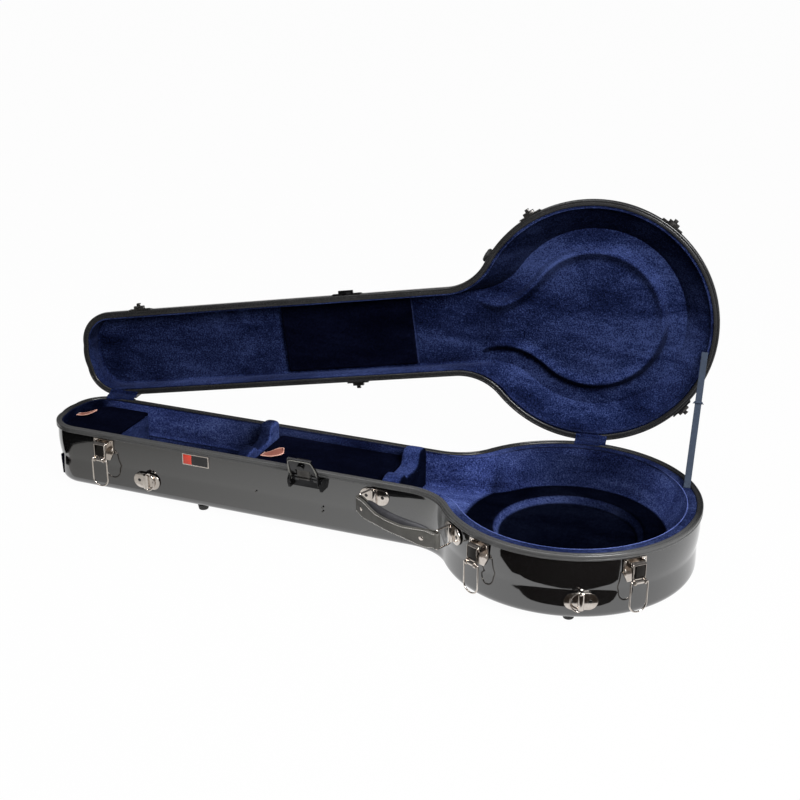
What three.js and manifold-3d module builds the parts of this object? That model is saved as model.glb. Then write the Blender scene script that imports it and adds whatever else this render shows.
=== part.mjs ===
// Hard shell case for a five-string resonator banjo, standing open on its feet.
// Millimetres, +Z up. The case lies along X with the head end at -X; the hinge side is +Y.
// Everything is laid out from the centre of the round body at floor level and the
// finished case is moved so that its origin is the middle of its footprint.

import * as THREE from 'three';
import Module from 'manifold-3d';
import { mergeVertices } from 'three/addons/utils/BufferGeometryUtils.js';

const wasm = await Module();
wasm.setup();

// Plan of the case, measured over the rims
const BODY_RADIUS = 205;
const NECK_REACH = 920;
const NECK_HALF_WIDTH = 77.2;
const WAIST_RADIUS = 85.7;
const HEAD_CORNER_RADIUS = 56;
const HEAD_BOW = 3;

// Heights and walls
const FOOT_HEIGHT = 10;
const BASE_DEPTH = 108.6;
const LID_DEPTH = 50;
const SHELL_WALL = 3;
const SHELL_INSET = 2.3;
const CREASE_STEP = 1.5;
const CREASE_HEIGHT = 60;
const CREASE_RISE = 6;
const BASE_EDGE_RADIUS = 14;
const LID_EDGE_RADIUS = 16;
const LID_DRAFT = 3;
const GAP = 0.3;
const CUT_OVERRUN = 5;

// Closure rims
const RIM_HEIGHT = 9;
const RIM_WIDTH = 10;
const RIM_FLANGE = 4;
const RIM_SLOT_DEPTH = 5;
const RIM_BEAD = 1.6;

// Lining and the spaces cut in it
const LINING_EDGE = 11;
const LINING_TOP_DROP = 2;
const POT_LIP_INSET = 24;
const POT_FLOOR_INSET = 47.7;
const POT_DEPTH = 61;
const POT_WAIST_INSET = 14.3;
const RECESS_TOP_INSET = 83;
const RECESS_FLOOR_INSET = 99;
const RECESS_DEPTH = 12;
const NECK_WELL_SIDE = 15.2;
const NECK_WELL_FLOOR = 22;
const NECK_WELL_HEAD = 23;

// Neck rests, storage boxes and their pull tabs. Places along the neck are measured
// from the head end of the case or from the edge of its round body.
const NECK_REST_FROM_HEAD = 378.5;
const NECK_REST_LENGTH = 24;
const NECK_REST_SLOT = 46;
const NECK_REST_SLOT_DROP = 8;
const HEEL_REST_FROM_BODY = 72;
const HEEL_REST_LENGTH = 34;
const HEEL_REST_SLOT = 56;
const HEEL_REST_SLOT_DROP = 10;
const REST_RISE = 12.4;
const REST_FRONT_DROP = 11;
const REST_CROWN = 9;
const BOX_LID_DROP = 14.6;
const BOX_LID_THICKNESS = 5;
const HEAD_BOX_WALL_FROM_HEAD = 124;
const HEAD_BOX_WALL_THICKNESS = 8;
const TAB_LENGTH = 40;
const TAB_WIDTH = 16;
const TAB_THICKNESS = 2;
const TAB_RISE = 12;
const HEAD_TAB_Y = 8;
const MIDDLE_TAB_Y = -22;

// Lid lining
const LID_CEILING_FOAM = 10;
const LID_FLOOR_INSET = 50;
const LID_PAD_INSET = 90;
const LID_PAD_HEIGHT = 15;
const LID_PAD_JOIN_ANGLE = 140;
const LID_PAD_SLOPE = 10;
const LID_PAD_THROAT_INSET = 50;
const LID_PAD_THROAT = 28;
const LID_PAD_FLARE_INSET = 5;
const LID_PAD_FLARE = 46;
const LID_BLOCK_FROM_HEAD = 374;
const LID_BLOCK_FROM_BODY = 105;
const LID_BLOCK_SIDE = 17.2;
const LID_BLOCK_HEIGHT = 9;
const LID_SEAM_FROM_BODY = 50;

// Hinges, flaps and stay strap
const HINGE_OFFSET = 3.6;
const HINGE_DROP = 5.8;
const HINGE_BARREL_RADIUS = 3;
const HINGE_PIN_RADIUS = 1.4;
const HINGE_WIDTH = 46;
const HINGE_LEAF_HEIGHT = 24;
const HINGE_LEAF_THICKNESS = 1.6;
const HEAD_HINGE_SHIFT = 14;
const BODY_HINGE_SHIFT = 10;
const LID_OPEN_ANGLE = 94;
const FLAP_WIDTH = 52;
const FLAP_THICKNESS = 2;
const STRAP_WIDTH = 10.5;
const STRAP_THICKNESS = 1.6;
const STRAP_BASE_ANGLE = 28.6;
const STRAP_LID_ANGLE = 19;

// Draw latches and their catches
const LATCH_PLATE_WIDTH = 38;
const LATCH_PLATE_HEIGHT = 38;
const LATCH_PLATE_TIP = 22;
const LATCH_PLATE_THICKNESS = 1.6;
const LATCH_RIM_GAP = 1.1;
const LATCH_PIVOT_DROP = 17.1;
const LATCH_PIVOT_OUT = 8.5;
const LATCH_PIN_RADIUS = 1.5;
const LATCH_EAR = 1.2;
const LEVER_WIDTH = 21.5;
const LEVER_FRONT_OUT = 13.5;
const LEVER_BACK_OUT = 9.8;
const LEVER_TOP_OUT = 4.5;
const LEVER_TOP_REACH = 4.5;
const ROLL_OUT = 15;
const ROLL_DROP = 24.5;
const ROLL_RADIUS = 3.4;
const BAIL_WIRE = 2.6;
const BAIL_WIDTH = 30.5;
const BAIL_LENGTH = 49;
const BAIL_BEND = 9;
const BAIL_STUB = 3;
const BAIL_HOOK_OUT = 9.3;
const CATCH_HEIGHT = 17;
const CATCH_HOOK_WIDTH = 9;
const CATCH_HOOK_THICKNESS = 2;
const CATCH_LIP = 5;
const HEAD_LATCH_FROM_HEAD = 122;
const FRONT_WAIST_LATCH_ANGLE = -114.9;
const FRONT_TAIL_LATCH_ANGLE = -47;
const REAR_NECK_LATCH_FROM_BODY = 209.5;
const REAR_TAIL_LATCH_ANGLE = 49.5;

// Centre lock
const LOCK_FROM_BODY = 209.5;
const LOCK_WIDTH = 60;
const LOCK_HEIGHT = 21;
const LOCK_PLATE = 1.6;
const LOCK_EAR = 4;
const LOCK_EAR_OUT = 13;
const LOCK_PIVOT_OUT = 9;
const LOCK_PIVOT_DROP = 17.6;
const LOCK_PIN_RADIUS = 1.6;
const HOOD_LENGTH = 52;
const HOOD_TIP_WIDTH = 42;
const HOOD_PLATE = 2;
const HOOD_FRONT = 6;
const HOOD_CHEEK = 2;
const HOOD_CHEEK_DEPTH = 11;
const HOOD_OPEN_ANGLE = 150;
const CLAW_WIDTH = 22;
const CLAW_THICKNESS = 1.8;
const CLAW_PIVOT_OUT = 1;
const CLAW_PIVOT_DROP = 9;
const CLAW_LENGTH = 34;
const CLAW_LIP = 4;
const CLAW_EYE_RADIUS = 2.8;
const CLAW_PIN_RADIUS = 1.3;
const LUG_WIDTH = 26;
const LUG_OUT = 8;
const LOCK_CATCH_WIDTH = 50;
const CLAW_REST_LEAN = 8;
const CLAW_NOTCH_DEPTH = 26;
const CYLINDER_RADIUS = 6;
const CYLINDER_REACH = 5;
const CYLINDER_DROP = 36;

// Two-lobed brackets, strap rings and the carrying handle
const BRACKET_WIDTH = 50;
const BRACKET_HEIGHT = 28;
const BRACKET_PLATE = 1.6;
const BRACKET_RIDGE_WIDTH = 9.5;
const BRACKET_RIDGE_HEIGHT = 26;
const BRACKET_RIDGE_OUT = 8.6;
const BRACKET_BAR_OUT = 4.6;
const RING_WIRE = 2.6;
const RING_RADIUS = 16;
const HEAD_RING_FROM_HEAD = 202;
const TAIL_RING_ANGLE = -69;
const RING_HEIGHT = 43;
const HANDLE_DROP = 26.6;
const HANDLE_FROM_BODY = 93;
const HANDLE_BODY_ANGLE = -133.6;
const LOOP_WIRE = 3;
const LOOP_HEIGHT = 32;
const LOOP_REACH = 30;
const LOOP_BEND = 3;
const GRIP_WIDTH = 28;
const GRIP_THICKNESS = 13;
const GRIP_BOW = 16;

// Badge, bumper and feet
const BADGE_REACH_SHARE = 0.6745;
const BADGE_WIDTH = 49;
const BADGE_HEIGHT = 20;
const BADGE_RIM_GAP = 1.3;
const BADGE_THICKNESS = 1.4;
const BADGE_FRAME = 1.3;
const BADGE_RECESS = 0.5;
const BUMPER_ANGLE = -143.5;
const BUMPER_RADIUS = 12;
const BUMPER_OUT = 7;
const BUMPER_CROWN = 1;
const BUMPER_CROWN_INSET = 2.4;
const BUMPER_HEIGHT = 22;
const FOOT_TOP_RADIUS = 10;
const FOOT_BASE_RADIUS = 8;
const NECK_FOOT_FROM_HEAD = 298;
const NECK_FOOT_INSET = 23.2;
const BODY_FOOT_INSET = 29.7;
const BODY_FOOT_ANGLE = 73.4;

// Heights and places that follow from those above
const RIM_TOP = FOOT_HEIGHT + BASE_DEPTH;
const RIM_BOTTOM = RIM_TOP - RIM_HEIGHT;
const LID_RIM_FACE = RIM_TOP + GAP;
const LID_TOP = RIM_TOP + LID_DEPTH;
const SHELL_FLOOR = FOOT_HEIGHT + SHELL_WALL;
const LINING_TOP = RIM_TOP - LINING_TOP_DROP;
const LOWER_INSET = SHELL_INSET + CREASE_STEP;
const WALL_BACK = GAP - SHELL_INSET;
const LOWER_BACK = GAP - LOWER_INSET;
const POT_FLOOR_HEIGHT = RIM_TOP - POT_DEPTH;
const REST_TOP = RIM_TOP + REST_RISE;
const BOX_LID_TOP = RIM_TOP - BOX_LID_DROP;
const POT_LIP_RADIUS = BODY_RADIUS - POT_LIP_INSET;
const POT_WAIST_RADIUS = WAIST_RADIUS + POT_WAIST_INSET;
const LINING_CORNER_RADIUS = HEAD_CORNER_RADIUS - LINING_EDGE;
const NECK_WELL_HALF_WIDTH = NECK_HALF_WIDTH - NECK_WELL_SIDE;
const LID_PAD_RADIUS = BODY_RADIUS - LID_PAD_INSET;
const LOCK_X = -BODY_RADIUS - LOCK_FROM_BODY;
const NECK_REST_X = NECK_REST_FROM_HEAD - NECK_REACH;
const HEEL_REST_X = -BODY_RADIUS - HEEL_REST_FROM_BODY;
const HEAD_BOX_WALL_X = HEAD_BOX_WALL_FROM_HEAD - NECK_REACH;
const HANDLE_HEAD_X = -BODY_RADIUS - HANDLE_FROM_BODY;
const HANDLE_HEIGHT = RIM_TOP - HANDLE_DROP;

// Steps of the round forms
const BODY_STEPS = 44;
const WAIST_STEPS = 6;
const CORNER_STEPS = 8;
const WIRE_SIDES = 6;

const rad = THREE.MathUtils.degToRad;

// Materials
const finish = (color, roughness, metalness) =>
  new THREE.MeshStandardMaterial({ color, roughness, metalness });
const glossBlack = () => finish(0x0b0b0c, 0.08, 0);
const rimGrey = () => finish(0x2e2e30, 0.42, 0.1);
const bluePlush = () => finish(0x1b2a63, 0.95, 0);
const darkPlush = () => finish(0x0b1130, 0.95, 0);
const nickel = () => finish(0xc9c0b8, 0.18, 1);
const blackMetal = () => finish(0x1a1a1b, 0.3, 0.5);
const charcoalLeather = () => finish(0x3a3a39, 0.6, 0);
const tanLeather = () => finish(0xc98a78, 0.55, 0);
const blackRubber = () => finish(0x121212, 0.8, 0);
const blueWebbing = () => finish(0x2e4668, 0.85, 0);
const badgeBlack = () => finish(0x141414, 0.25, 0.3);

// Solids for joining and cutting
function solidOf(geometry) {
  const bare = geometry.clone();
  for (const name of Object.keys(bare.attributes)) {
    if (name !== 'position') bare.deleteAttribute(name);
  }
  const welded = mergeVertices(bare);
  return new wasm.Manifold(new wasm.Mesh({
    numProp: 3,
    vertProperties: new Float32Array(welded.attributes.position.array),
    triVerts: new Uint32Array(welded.index.array),
  }));
}

function geometryOf(solid) {
  const mesh = solid.getMesh();
  const geometry = new THREE.BufferGeometry();
  geometry.setAttribute('position', new THREE.BufferAttribute(mesh.vertProperties, 3));
  geometry.setIndex(new THREE.BufferAttribute(mesh.triVerts, 1));
  geometry.computeVertexNormals();
  return geometry;
}

const unite = (...geometries) =>
  geometryOf(geometries.map(solidOf).reduce((whole, piece) => whole.add(piece)));

const cut = (geometry, ...tools) =>
  geometryOf(tools.map(solidOf).reduce((whole, tool) => whole.subtract(tool), solidOf(geometry)));

// Plan outlines, counter-clockwise, always with the same number of points
function arc(centre, radius, from, to, steps) {
  return Array.from({ length: steps + 1 }, (_, i) => {
    const angle = from + (to - from) * i / steps;
    return new THREE.Vector2(
      centre.x + radius * Math.cos(angle),
      centre.y + radius * Math.sin(angle));
  });
}

// Half of a banjo-shaped plan is a body arc, a waist fillet, the neck and a head corner.
function banjoOutline({ radius, halfWidth, reach, waist, corner, bow }) {
  const fillet = new THREE.Vector2(
    -Math.sqrt((radius + waist) ** 2 - (halfWidth + waist) ** 2),
    halfWidth + waist);
  const joinAngle = Math.atan2(fillet.y, fillet.x);
  const cornerCentre = new THREE.Vector2(bow + corner - reach, halfWidth - corner);
  const upper = [
    ...arc(new THREE.Vector2(), radius, 0, joinAngle, BODY_STEPS / 2),
    ...arc(fillet, waist, joinAngle - Math.PI, -Math.PI / 2, WAIST_STEPS).slice(1),
    ...arc(cornerCentre, corner, Math.PI / 2, Math.PI, CORNER_STEPS),
    new THREE.Vector2(-reach, 0),
  ];
  const lower = upper.slice(1, -1).reverse().map((p) => new THREE.Vector2(p.x, -p.y));
  return [...upper, ...lower];
}

const CASE_PLAN = {
  radius: BODY_RADIUS,
  halfWidth: NECK_HALF_WIDTH,
  reach: NECK_REACH,
  waist: WAIST_RADIUS,
  corner: HEAD_CORNER_RADIUS,
  bow: HEAD_BOW,
};

function caseOutline(inset) {
  return banjoOutline({
    radius: CASE_PLAN.radius - inset,
    halfWidth: CASE_PLAN.halfWidth - inset,
    reach: CASE_PLAN.reach - inset,
    waist: CASE_PLAN.waist + inset,
    corner: Math.max(CASE_PLAN.corner - inset, inset),
    bow: CASE_PLAN.bow,
  });
}

// A skin through rings of equal point counts. Open lofts are capped at both ends.
function loft(rings, closed = false) {
  const count = rings[0].outline.length;
  const positions = rings.flatMap(({ outline, z }) => outline.flatMap((p) => [p.x, p.y, z]));
  const indices = [];
  const bands = closed ? rings.length : rings.length - 1;
  for (let band = 0; band < bands; band += 1) {
    const a = band * count;
    const b = ((band + 1) % rings.length) * count;
    for (let i = 0; i < count; i += 1) {
      const j = (i + 1) % count;
      indices.push(a + i, a + j, b + j, a + i, b + j, b + i);
    }
  }
  if (!closed) {
    const last = (rings.length - 1) * count;
    for (const [i, j, k] of THREE.ShapeUtils.triangulateShape(rings[0].outline, [])) {
      indices.push(k, j, i);
    }
    for (const [i, j, k] of THREE.ShapeUtils.triangulateShape(rings.at(-1).outline, [])) {
      indices.push(last + i, last + j, last + k);
    }
  }
  const geometry = new THREE.BufferGeometry();
  geometry.setAttribute('position', new THREE.Float32BufferAttribute(positions, 3));
  geometry.setIndex(indices);
  geometry.computeVertexNormals();
  return geometry;
}

const caseLoft = (rings, closed) =>
  loft(rings.map(([inset, z]) => ({ outline: caseOutline(inset), z })), closed);

// A quarter round from a wall at `inset` to a flat face at `level`
function edgeRings(inset, level, radius, direction, steps) {
  return Array.from({ length: steps + 1 }, (_, i) => {
    const angle = (Math.PI / 2) * i / steps;
    return [
      inset + radius * (1 - Math.cos(angle)),
      level - direction * radius * (1 - Math.sin(angle)),
    ];
  });
}

// Small building blocks
function block(x0, x1, y0, y1, z0, z1) {
  const geometry = new THREE.BoxGeometry(x1 - x0, y1 - y0, z1 - z0);
  geometry.translate((x0 + x1) / 2, (y0 + y1) / 2, (z0 + z1) / 2);
  return geometry;
}

// A side profile of [outward, up] points, extruded along the wall about x = 0
function sideProfile(points, width) {
  const shape = new THREE.Shape(points.map(([out, up]) => new THREE.Vector2(out, up)));
  const geometry = new THREE.ExtrudeGeometry(shape, { depth: width, bevelEnabled: false });
  geometry.translate(0, 0, -width / 2);
  geometry.applyMatrix4(new THREE.Matrix4().makeBasis(
    new THREE.Vector3(0, -1, 0),
    new THREE.Vector3(0, 0, 1),
    new THREE.Vector3(-1, 0, 0)));
  return geometry;
}

// A front view of [along, up] points, standing outward from `back` to `front`
function frontProfile(points, back, front) {
  const shape = new THREE.Shape(points.map(([x, z]) => new THREE.Vector2(x, z)));
  const geometry = new THREE.ExtrudeGeometry(shape, { depth: front - back, bevelEnabled: false });
  geometry.translate(0, 0, back);
  geometry.rotateX(Math.PI / 2);
  return geometry;
}

// A rod along the wall at [out, up], from x0 to x1
function rod(x0, x1, out, up, radius, sides) {
  const geometry = new THREE.CylinderGeometry(radius, radius, x1 - x0, sides);
  geometry.rotateZ(Math.PI / 2);
  geometry.translate((x0 + x1) / 2, -out, up);
  return geometry;
}

// A post along Z
function post(x, y, z0, z1, bottomRadius, topRadius, sides) {
  const geometry = new THREE.CylinderGeometry(topRadius, bottomRadius, z1 - z0, sides);
  geometry.rotateX(Math.PI / 2);
  geometry.translate(x, y, (z0 + z1) / 2);
  return geometry;
}

// The outside radius of a polygonal bore that clears a rod of the given radius
const boreRadius = (radius, sides) => (radius + GAP) / Math.cos(Math.PI / sides);

// A wire follows chosen points, with a mitred section at each of them.
class WireRoute extends THREE.Curve {
  constructor(points) {
    super();
    this.points = points;
  }

  getPoint(t, target = new THREE.Vector3()) {
    const place = t * (this.points.length - 1);
    const i = Math.min(Math.floor(place), this.points.length - 2);
    return target.lerpVectors(this.points[i], this.points[i + 1], place - i);
  }

  getPointAt(u, target) {
    return this.getPoint(u, target);
  }

  getTangentAt(u, target = new THREE.Vector3()) {
    const i = Math.round(u * (this.points.length - 1));
    const before = this.points[Math.max(i - 1, 0)];
    const here = this.points[i];
    const after = this.points[Math.min(i + 1, this.points.length - 1)];
    const inward = here.clone().sub(before).normalize();
    const outward = after.clone().sub(here).normalize();
    return target.copy(inward).add(outward).normalize();
  }
}

function wire(points, diameter) {
  const section = new THREE.Shape(
    arc(new THREE.Vector2(), diameter / 2, 0, 2 * Math.PI, WIRE_SIDES).slice(0, -1));
  return new THREE.ExtrudeGeometry(section, {
    steps: points.length - 1,
    extrudePath: new WireRoute(points),
    bevelEnabled: false,
  });
}

// Corners of a wire bend in the plane of the two unit directions
function bend(corner, from, to, radius, steps) {
  const start = corner.clone().addScaledVector(from, -radius);
  const centre = start.clone().addScaledVector(to, radius);
  return Array.from({ length: steps + 1 }, (_, i) => {
    const angle = (Math.PI / 2) * i / steps;
    return centre.clone()
      .addScaledVector(to, -radius * Math.cos(angle))
      .addScaledVector(from, radius * Math.sin(angle));
  });
}

// Meshes and placed groups
function piece(name, geometry, material) {
  const mesh = new THREE.Mesh(geometry, material);
  mesh.name = name;
  return mesh;
}

function placed(x, y, turn, ...children) {
  const group = new THREE.Group();
  group.position.set(x, y, 0);
  group.rotation.z = turn;
  group.add(...children);
  return group;
}

// Stations on the outside of the rims, with -Y of each station pointing away from the case
const onFrontNeck = (x, ...children) => placed(x, -NECK_HALF_WIDTH, 0, ...children);
const onRearNeck = (x, ...children) => placed(x, NECK_HALF_WIDTH, Math.PI, ...children);
const onBody = (degrees, ...children) => placed(
  BODY_RADIUS * Math.cos(rad(degrees)),
  BODY_RADIUS * Math.sin(rad(degrees)),
  rad(degrees) + Math.PI / 2,
  ...children);

// Shells
function baseShell() {
  const crease = FOOT_HEIGHT + CREASE_HEIGHT;
  const outer = edgeRings(LOWER_INSET, FOOT_HEIGHT, BASE_EDGE_RADIUS, -1, 4).reverse();
  const inner = edgeRings(
    LOWER_INSET + SHELL_WALL, SHELL_FLOOR, BASE_EDGE_RADIUS - SHELL_WALL, -1, 3);
  const slotRoof = RIM_BOTTOM + RIM_SLOT_DEPTH;
  return caseLoft([
    ...outer,
    [LOWER_INSET, crease - CREASE_RISE],
    [SHELL_INSET, crease],
    [SHELL_INSET, slotRoof - GAP],
    [SHELL_INSET + SHELL_WALL, slotRoof - GAP],
    [SHELL_INSET + SHELL_WALL, crease],
    [LOWER_INSET + SHELL_WALL, crease - CREASE_RISE],
    ...inner,
  ]);
}

function lidShell() {
  const slotFloor = LID_RIM_FACE + RIM_HEIGHT - RIM_SLOT_DEPTH;
  const topInset = SHELL_INSET + LID_DRAFT;
  const outer = edgeRings(topInset, LID_TOP, LID_EDGE_RADIUS, 1, 4);
  const inner = edgeRings(
    topInset + SHELL_WALL, LID_TOP - SHELL_WALL, LID_EDGE_RADIUS - SHELL_WALL, 1, 3).reverse();
  return caseLoft([
    ...inner,
    [SHELL_INSET + SHELL_WALL, slotFloor + GAP],
    [SHELL_INSET, slotFloor + GAP],
    ...outer,
  ]);
}

// A rim grips the shell's edge in a slot. `face` is its closing face, `away` points to its slot.
function rimLoft(face, away) {
  const rings = [
    [0, face + away * RIM_HEIGHT],
    [0, face + away * RIM_BEAD],
    [RIM_BEAD, face],
    [RIM_WIDTH - RIM_BEAD, face],
    [RIM_WIDTH, face + away * RIM_BEAD],
    [RIM_WIDTH, face + away * RIM_FLANGE],
    [SHELL_INSET + SHELL_WALL + GAP, face + away * RIM_FLANGE],
    [SHELL_INSET - GAP, face + away * RIM_FLANGE],
    [SHELL_INSET - GAP, face + away * RIM_HEIGHT],
  ];
  return caseLoft(away < 0 ? rings : rings.reverse(), true);
}

// The base lining fills the shell up to the rim, and its spaces are cut from the block.
function baseLining() {
  const crease = FOOT_HEIGHT + CREASE_HEIGHT;
  const backInset = SHELL_INSET + SHELL_WALL + GAP;
  const lowerBack = LOWER_INSET + SHELL_WALL + GAP;
  const underRim = RIM_TOP - RIM_FLANGE - GAP;
  const filling = caseLoft([
    ...edgeRings(lowerBack, SHELL_FLOOR + GAP, BASE_EDGE_RADIUS - SHELL_WALL, -1, 3).reverse(),
    [lowerBack, crease - CREASE_RISE],
    [backInset, crease],
    [backInset, underRim],
    [RIM_WIDTH + GAP, underRim],
    [RIM_WIDTH + GAP, LINING_TOP],
  ]);
  return cut(filling, potSpace(), potRecess(), neckWell());
}

function potSpace() {
  const lip = {
    radius: POT_LIP_RADIUS,
    halfWidth: NECK_HALF_WIDTH - LINING_EDGE,
    reach: NECK_REACH - LINING_EDGE,
    waist: POT_WAIST_RADIUS,
    corner: LINING_CORNER_RADIUS,
    bow: HEAD_BOW,
  };
  const floor = { ...lip, radius: BODY_RADIUS - POT_FLOOR_INSET };
  return loft([
    { outline: banjoOutline(floor), z: POT_FLOOR_HEIGHT },
    { outline: banjoOutline(lip), z: LINING_TOP },
    { outline: banjoOutline(lip), z: LINING_TOP + CUT_OVERRUN },
  ]);
}

function potRecess() {
  return post(0, 0, POT_FLOOR_HEIGHT - RECESS_DEPTH, POT_FLOOR_HEIGHT + GAP,
    BODY_RADIUS - RECESS_FLOOR_INSET, BODY_RADIUS - RECESS_TOP_INSET, BODY_STEPS);
}

const neckWell = () => block(
  NECK_WELL_HEAD - NECK_REACH, HEEL_REST_X - HEEL_REST_LENGTH / 2 - GAP,
  -NECK_WELL_HALF_WIDTH, NECK_WELL_HALF_WIDTH,
  NECK_WELL_FLOOR, POT_FLOOR_HEIGHT + CUT_OVERRUN);

// A padded rest across the neck space: two rounded horns, the front one lower, and a
// shallow saddle for the neck between them
function neckRest(x, length, slot, slotFloor, seat) {
  const half = NECK_WELL_HALF_WIDTH - GAP;
  const slotHalf = slot / 2;
  const hornTop = REST_TOP;
  const frontTop = REST_TOP - REST_FRONT_DROP;
  const shape = new THREE.Shape();
  shape.moveTo(-half, seat);
  shape.lineTo(half, seat);
  shape.lineTo(half, hornTop - REST_CROWN);
  shape.quadraticCurveTo(half, hornTop, half - REST_CROWN, hornTop);
  shape.lineTo(slotHalf + REST_CROWN, hornTop);
  shape.bezierCurveTo(slotHalf, hornTop, slotHalf, slotFloor, slotHalf - REST_CROWN, slotFloor);
  shape.lineTo(REST_CROWN - slotHalf, slotFloor);
  shape.bezierCurveTo(-slotHalf, slotFloor, -slotHalf, frontTop, -slotHalf - REST_CROWN, frontTop);
  shape.lineTo(REST_CROWN - half, frontTop);
  shape.quadraticCurveTo(-half, frontTop, -half, frontTop - REST_CROWN);
  const bevel = REST_CROWN / 2;
  const geometry = new THREE.ExtrudeGeometry(shape, {
    depth: length,
    bevelEnabled: false,
    curveSegments: 4,
  });
  geometry.translate(0, 0, -length / 2);
  geometry.rotateX(Math.PI / 2);
  geometry.rotateZ(Math.PI / 2);
  geometry.translate(x, 0, 0);
  const chamfer = (side) => {
    const edge = x + side * length / 2;
    const wedge = new THREE.Shape([
      new THREE.Vector2(edge + side * GAP, hornTop - bevel),
      new THREE.Vector2(edge - side * bevel, hornTop + GAP),
      new THREE.Vector2(edge + side * GAP, hornTop + GAP),
    ]);
    const tool = new THREE.ExtrudeGeometry(wedge, { depth: 2 * half, bevelEnabled: false });
    tool.rotateX(Math.PI / 2);
    tool.translate(0, half, 0);
    return tool;
  };
  return cut(geometry, chamfer(-1), chamfer(1));
}

// Storage box wall, lids and leather pull tabs
const headBoxWall = () => block(
  HEAD_BOX_WALL_X - HEAD_BOX_WALL_THICKNESS / 2, HEAD_BOX_WALL_X + HEAD_BOX_WALL_THICKNESS / 2,
  GAP - NECK_WELL_HALF_WIDTH, NECK_WELL_HALF_WIDTH - GAP,
  NECK_WELL_FLOOR + GAP, BOX_LID_TOP - BOX_LID_THICKNESS - GAP);

function boxLid(from, to, rounded) {
  const half = NECK_HALF_WIDTH - LINING_EDGE - GAP;
  const corner = rounded ? LINING_CORNER_RADIUS : BOX_LID_THICKNESS;
  const shape = new THREE.Shape();
  shape.moveTo(to, -half);
  shape.lineTo(to, half);
  shape.lineTo(from + corner, half);
  shape.absarc(from + corner, half - corner, corner, Math.PI / 2, Math.PI, false);
  shape.absarc(from + corner, corner - half, corner, Math.PI, 1.5 * Math.PI, false);
  const geometry = new THREE.ExtrudeGeometry(shape, {
    depth: BOX_LID_THICKNESS,
    bevelEnabled: false,
    curveSegments: CORNER_STEPS,
  });
  geometry.translate(0, 0, BOX_LID_TOP - BOX_LID_THICKNESS);
  return geometry;
}

function pullTab(x, y) {
  const steps = 6;
  const along = Array.from({ length: steps + 1 }, (_, i) => i / steps);
  const rise = (t) => TAB_RISE * t * t;
  const seat = BOX_LID_TOP + GAP;
  const shape = new THREE.Shape([
    ...along.map((t) => new THREE.Vector2(x + TAB_LENGTH * t, seat + rise(t))),
    ...along.reverse().map((t) =>
      new THREE.Vector2(x + TAB_LENGTH * t, seat + TAB_THICKNESS + rise(t))),
  ]);
  const geometry = new THREE.ExtrudeGeometry(shape, { depth: TAB_WIDTH, bevelEnabled: false });
  geometry.rotateX(Math.PI / 2);
  geometry.translate(0, y + TAB_WIDTH / 2, 0);
  return geometry;
}

const HEAD_BOX_HINGE_X = HEAD_BOX_WALL_X + HEAD_BOX_WALL_THICKNESS / 2;
const MIDDLE_BOX_HINGE_X = HEEL_REST_X - HEEL_REST_LENGTH / 2 - GAP;
const HEAD_BOX_LID_X = LINING_EDGE + HEAD_BOW + GAP - NECK_REACH;
const MIDDLE_BOX_LID_X = NECK_REST_X + NECK_REST_LENGTH / 2 + GAP;

// Lid lining in two lengths that meet at a seam beside the waist
const LID_CEILING = LID_TOP - LID_CEILING_FOAM;
const LID_SEAM_X = -BODY_RADIUS - LID_SEAM_FROM_BODY;

function lidTray() {
  const back = LID_TOP - SHELL_WALL - GAP;
  const overRim = LID_RIM_FACE + RIM_FLANGE + GAP;
  const wallBack = SHELL_INSET + SHELL_WALL + GAP;
  const topBack = wallBack + LID_DRAFT;
  const faceLevel = LID_RIM_FACE + LINING_TOP_DROP;
  const filling = caseLoft([
    [RIM_WIDTH + GAP, faceLevel],
    [RIM_WIDTH + GAP, overRim],
    [wallBack + LID_DRAFT / 2, overRim],
    ...edgeRings(topBack, back, LID_EDGE_RADIUS - SHELL_WALL, 1, 3),
  ]);
  const lip = {
    radius: BODY_RADIUS - LINING_EDGE - LINING_TOP_DROP,
    halfWidth: NECK_HALF_WIDTH - LINING_EDGE,
    reach: NECK_REACH - LINING_EDGE,
    waist: POT_WAIST_RADIUS,
    corner: LINING_CORNER_RADIUS,
    bow: HEAD_BOW,
  };
  const space = loft([
    { outline: banjoOutline(lip), z: faceLevel - CUT_OVERRUN },
    { outline: banjoOutline(lip), z: faceLevel },
    { outline: banjoOutline({ ...lip, radius: BODY_RADIUS - LID_FLOOR_INSET }), z: LID_CEILING },
  ]);
  return cut(filling, space);
}

const lidHalf = (from, to) => block(
  from, to, -BODY_RADIUS, BODY_RADIUS, LID_RIM_FACE, LID_TOP);

function lidNeckLining() {
  const panel = block(
    LID_BLOCK_FROM_HEAD - NECK_REACH, -BODY_RADIUS - LID_BLOCK_FROM_BODY,
    LID_BLOCK_SIDE - NECK_HALF_WIDTH, NECK_HALF_WIDTH - LID_BLOCK_SIDE,
    LID_CEILING - LID_BLOCK_HEIGHT, LID_CEILING + GAP);
  return unite(cut(lidTray(), lidHalf(LID_SEAM_X - GAP / 2, BODY_RADIUS)), panel);
}

function lidBodyLining() {
  return unite(cut(lidTray(), lidHalf(-NECK_REACH, LID_SEAM_X + GAP / 2)), lidPad());
}

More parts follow.
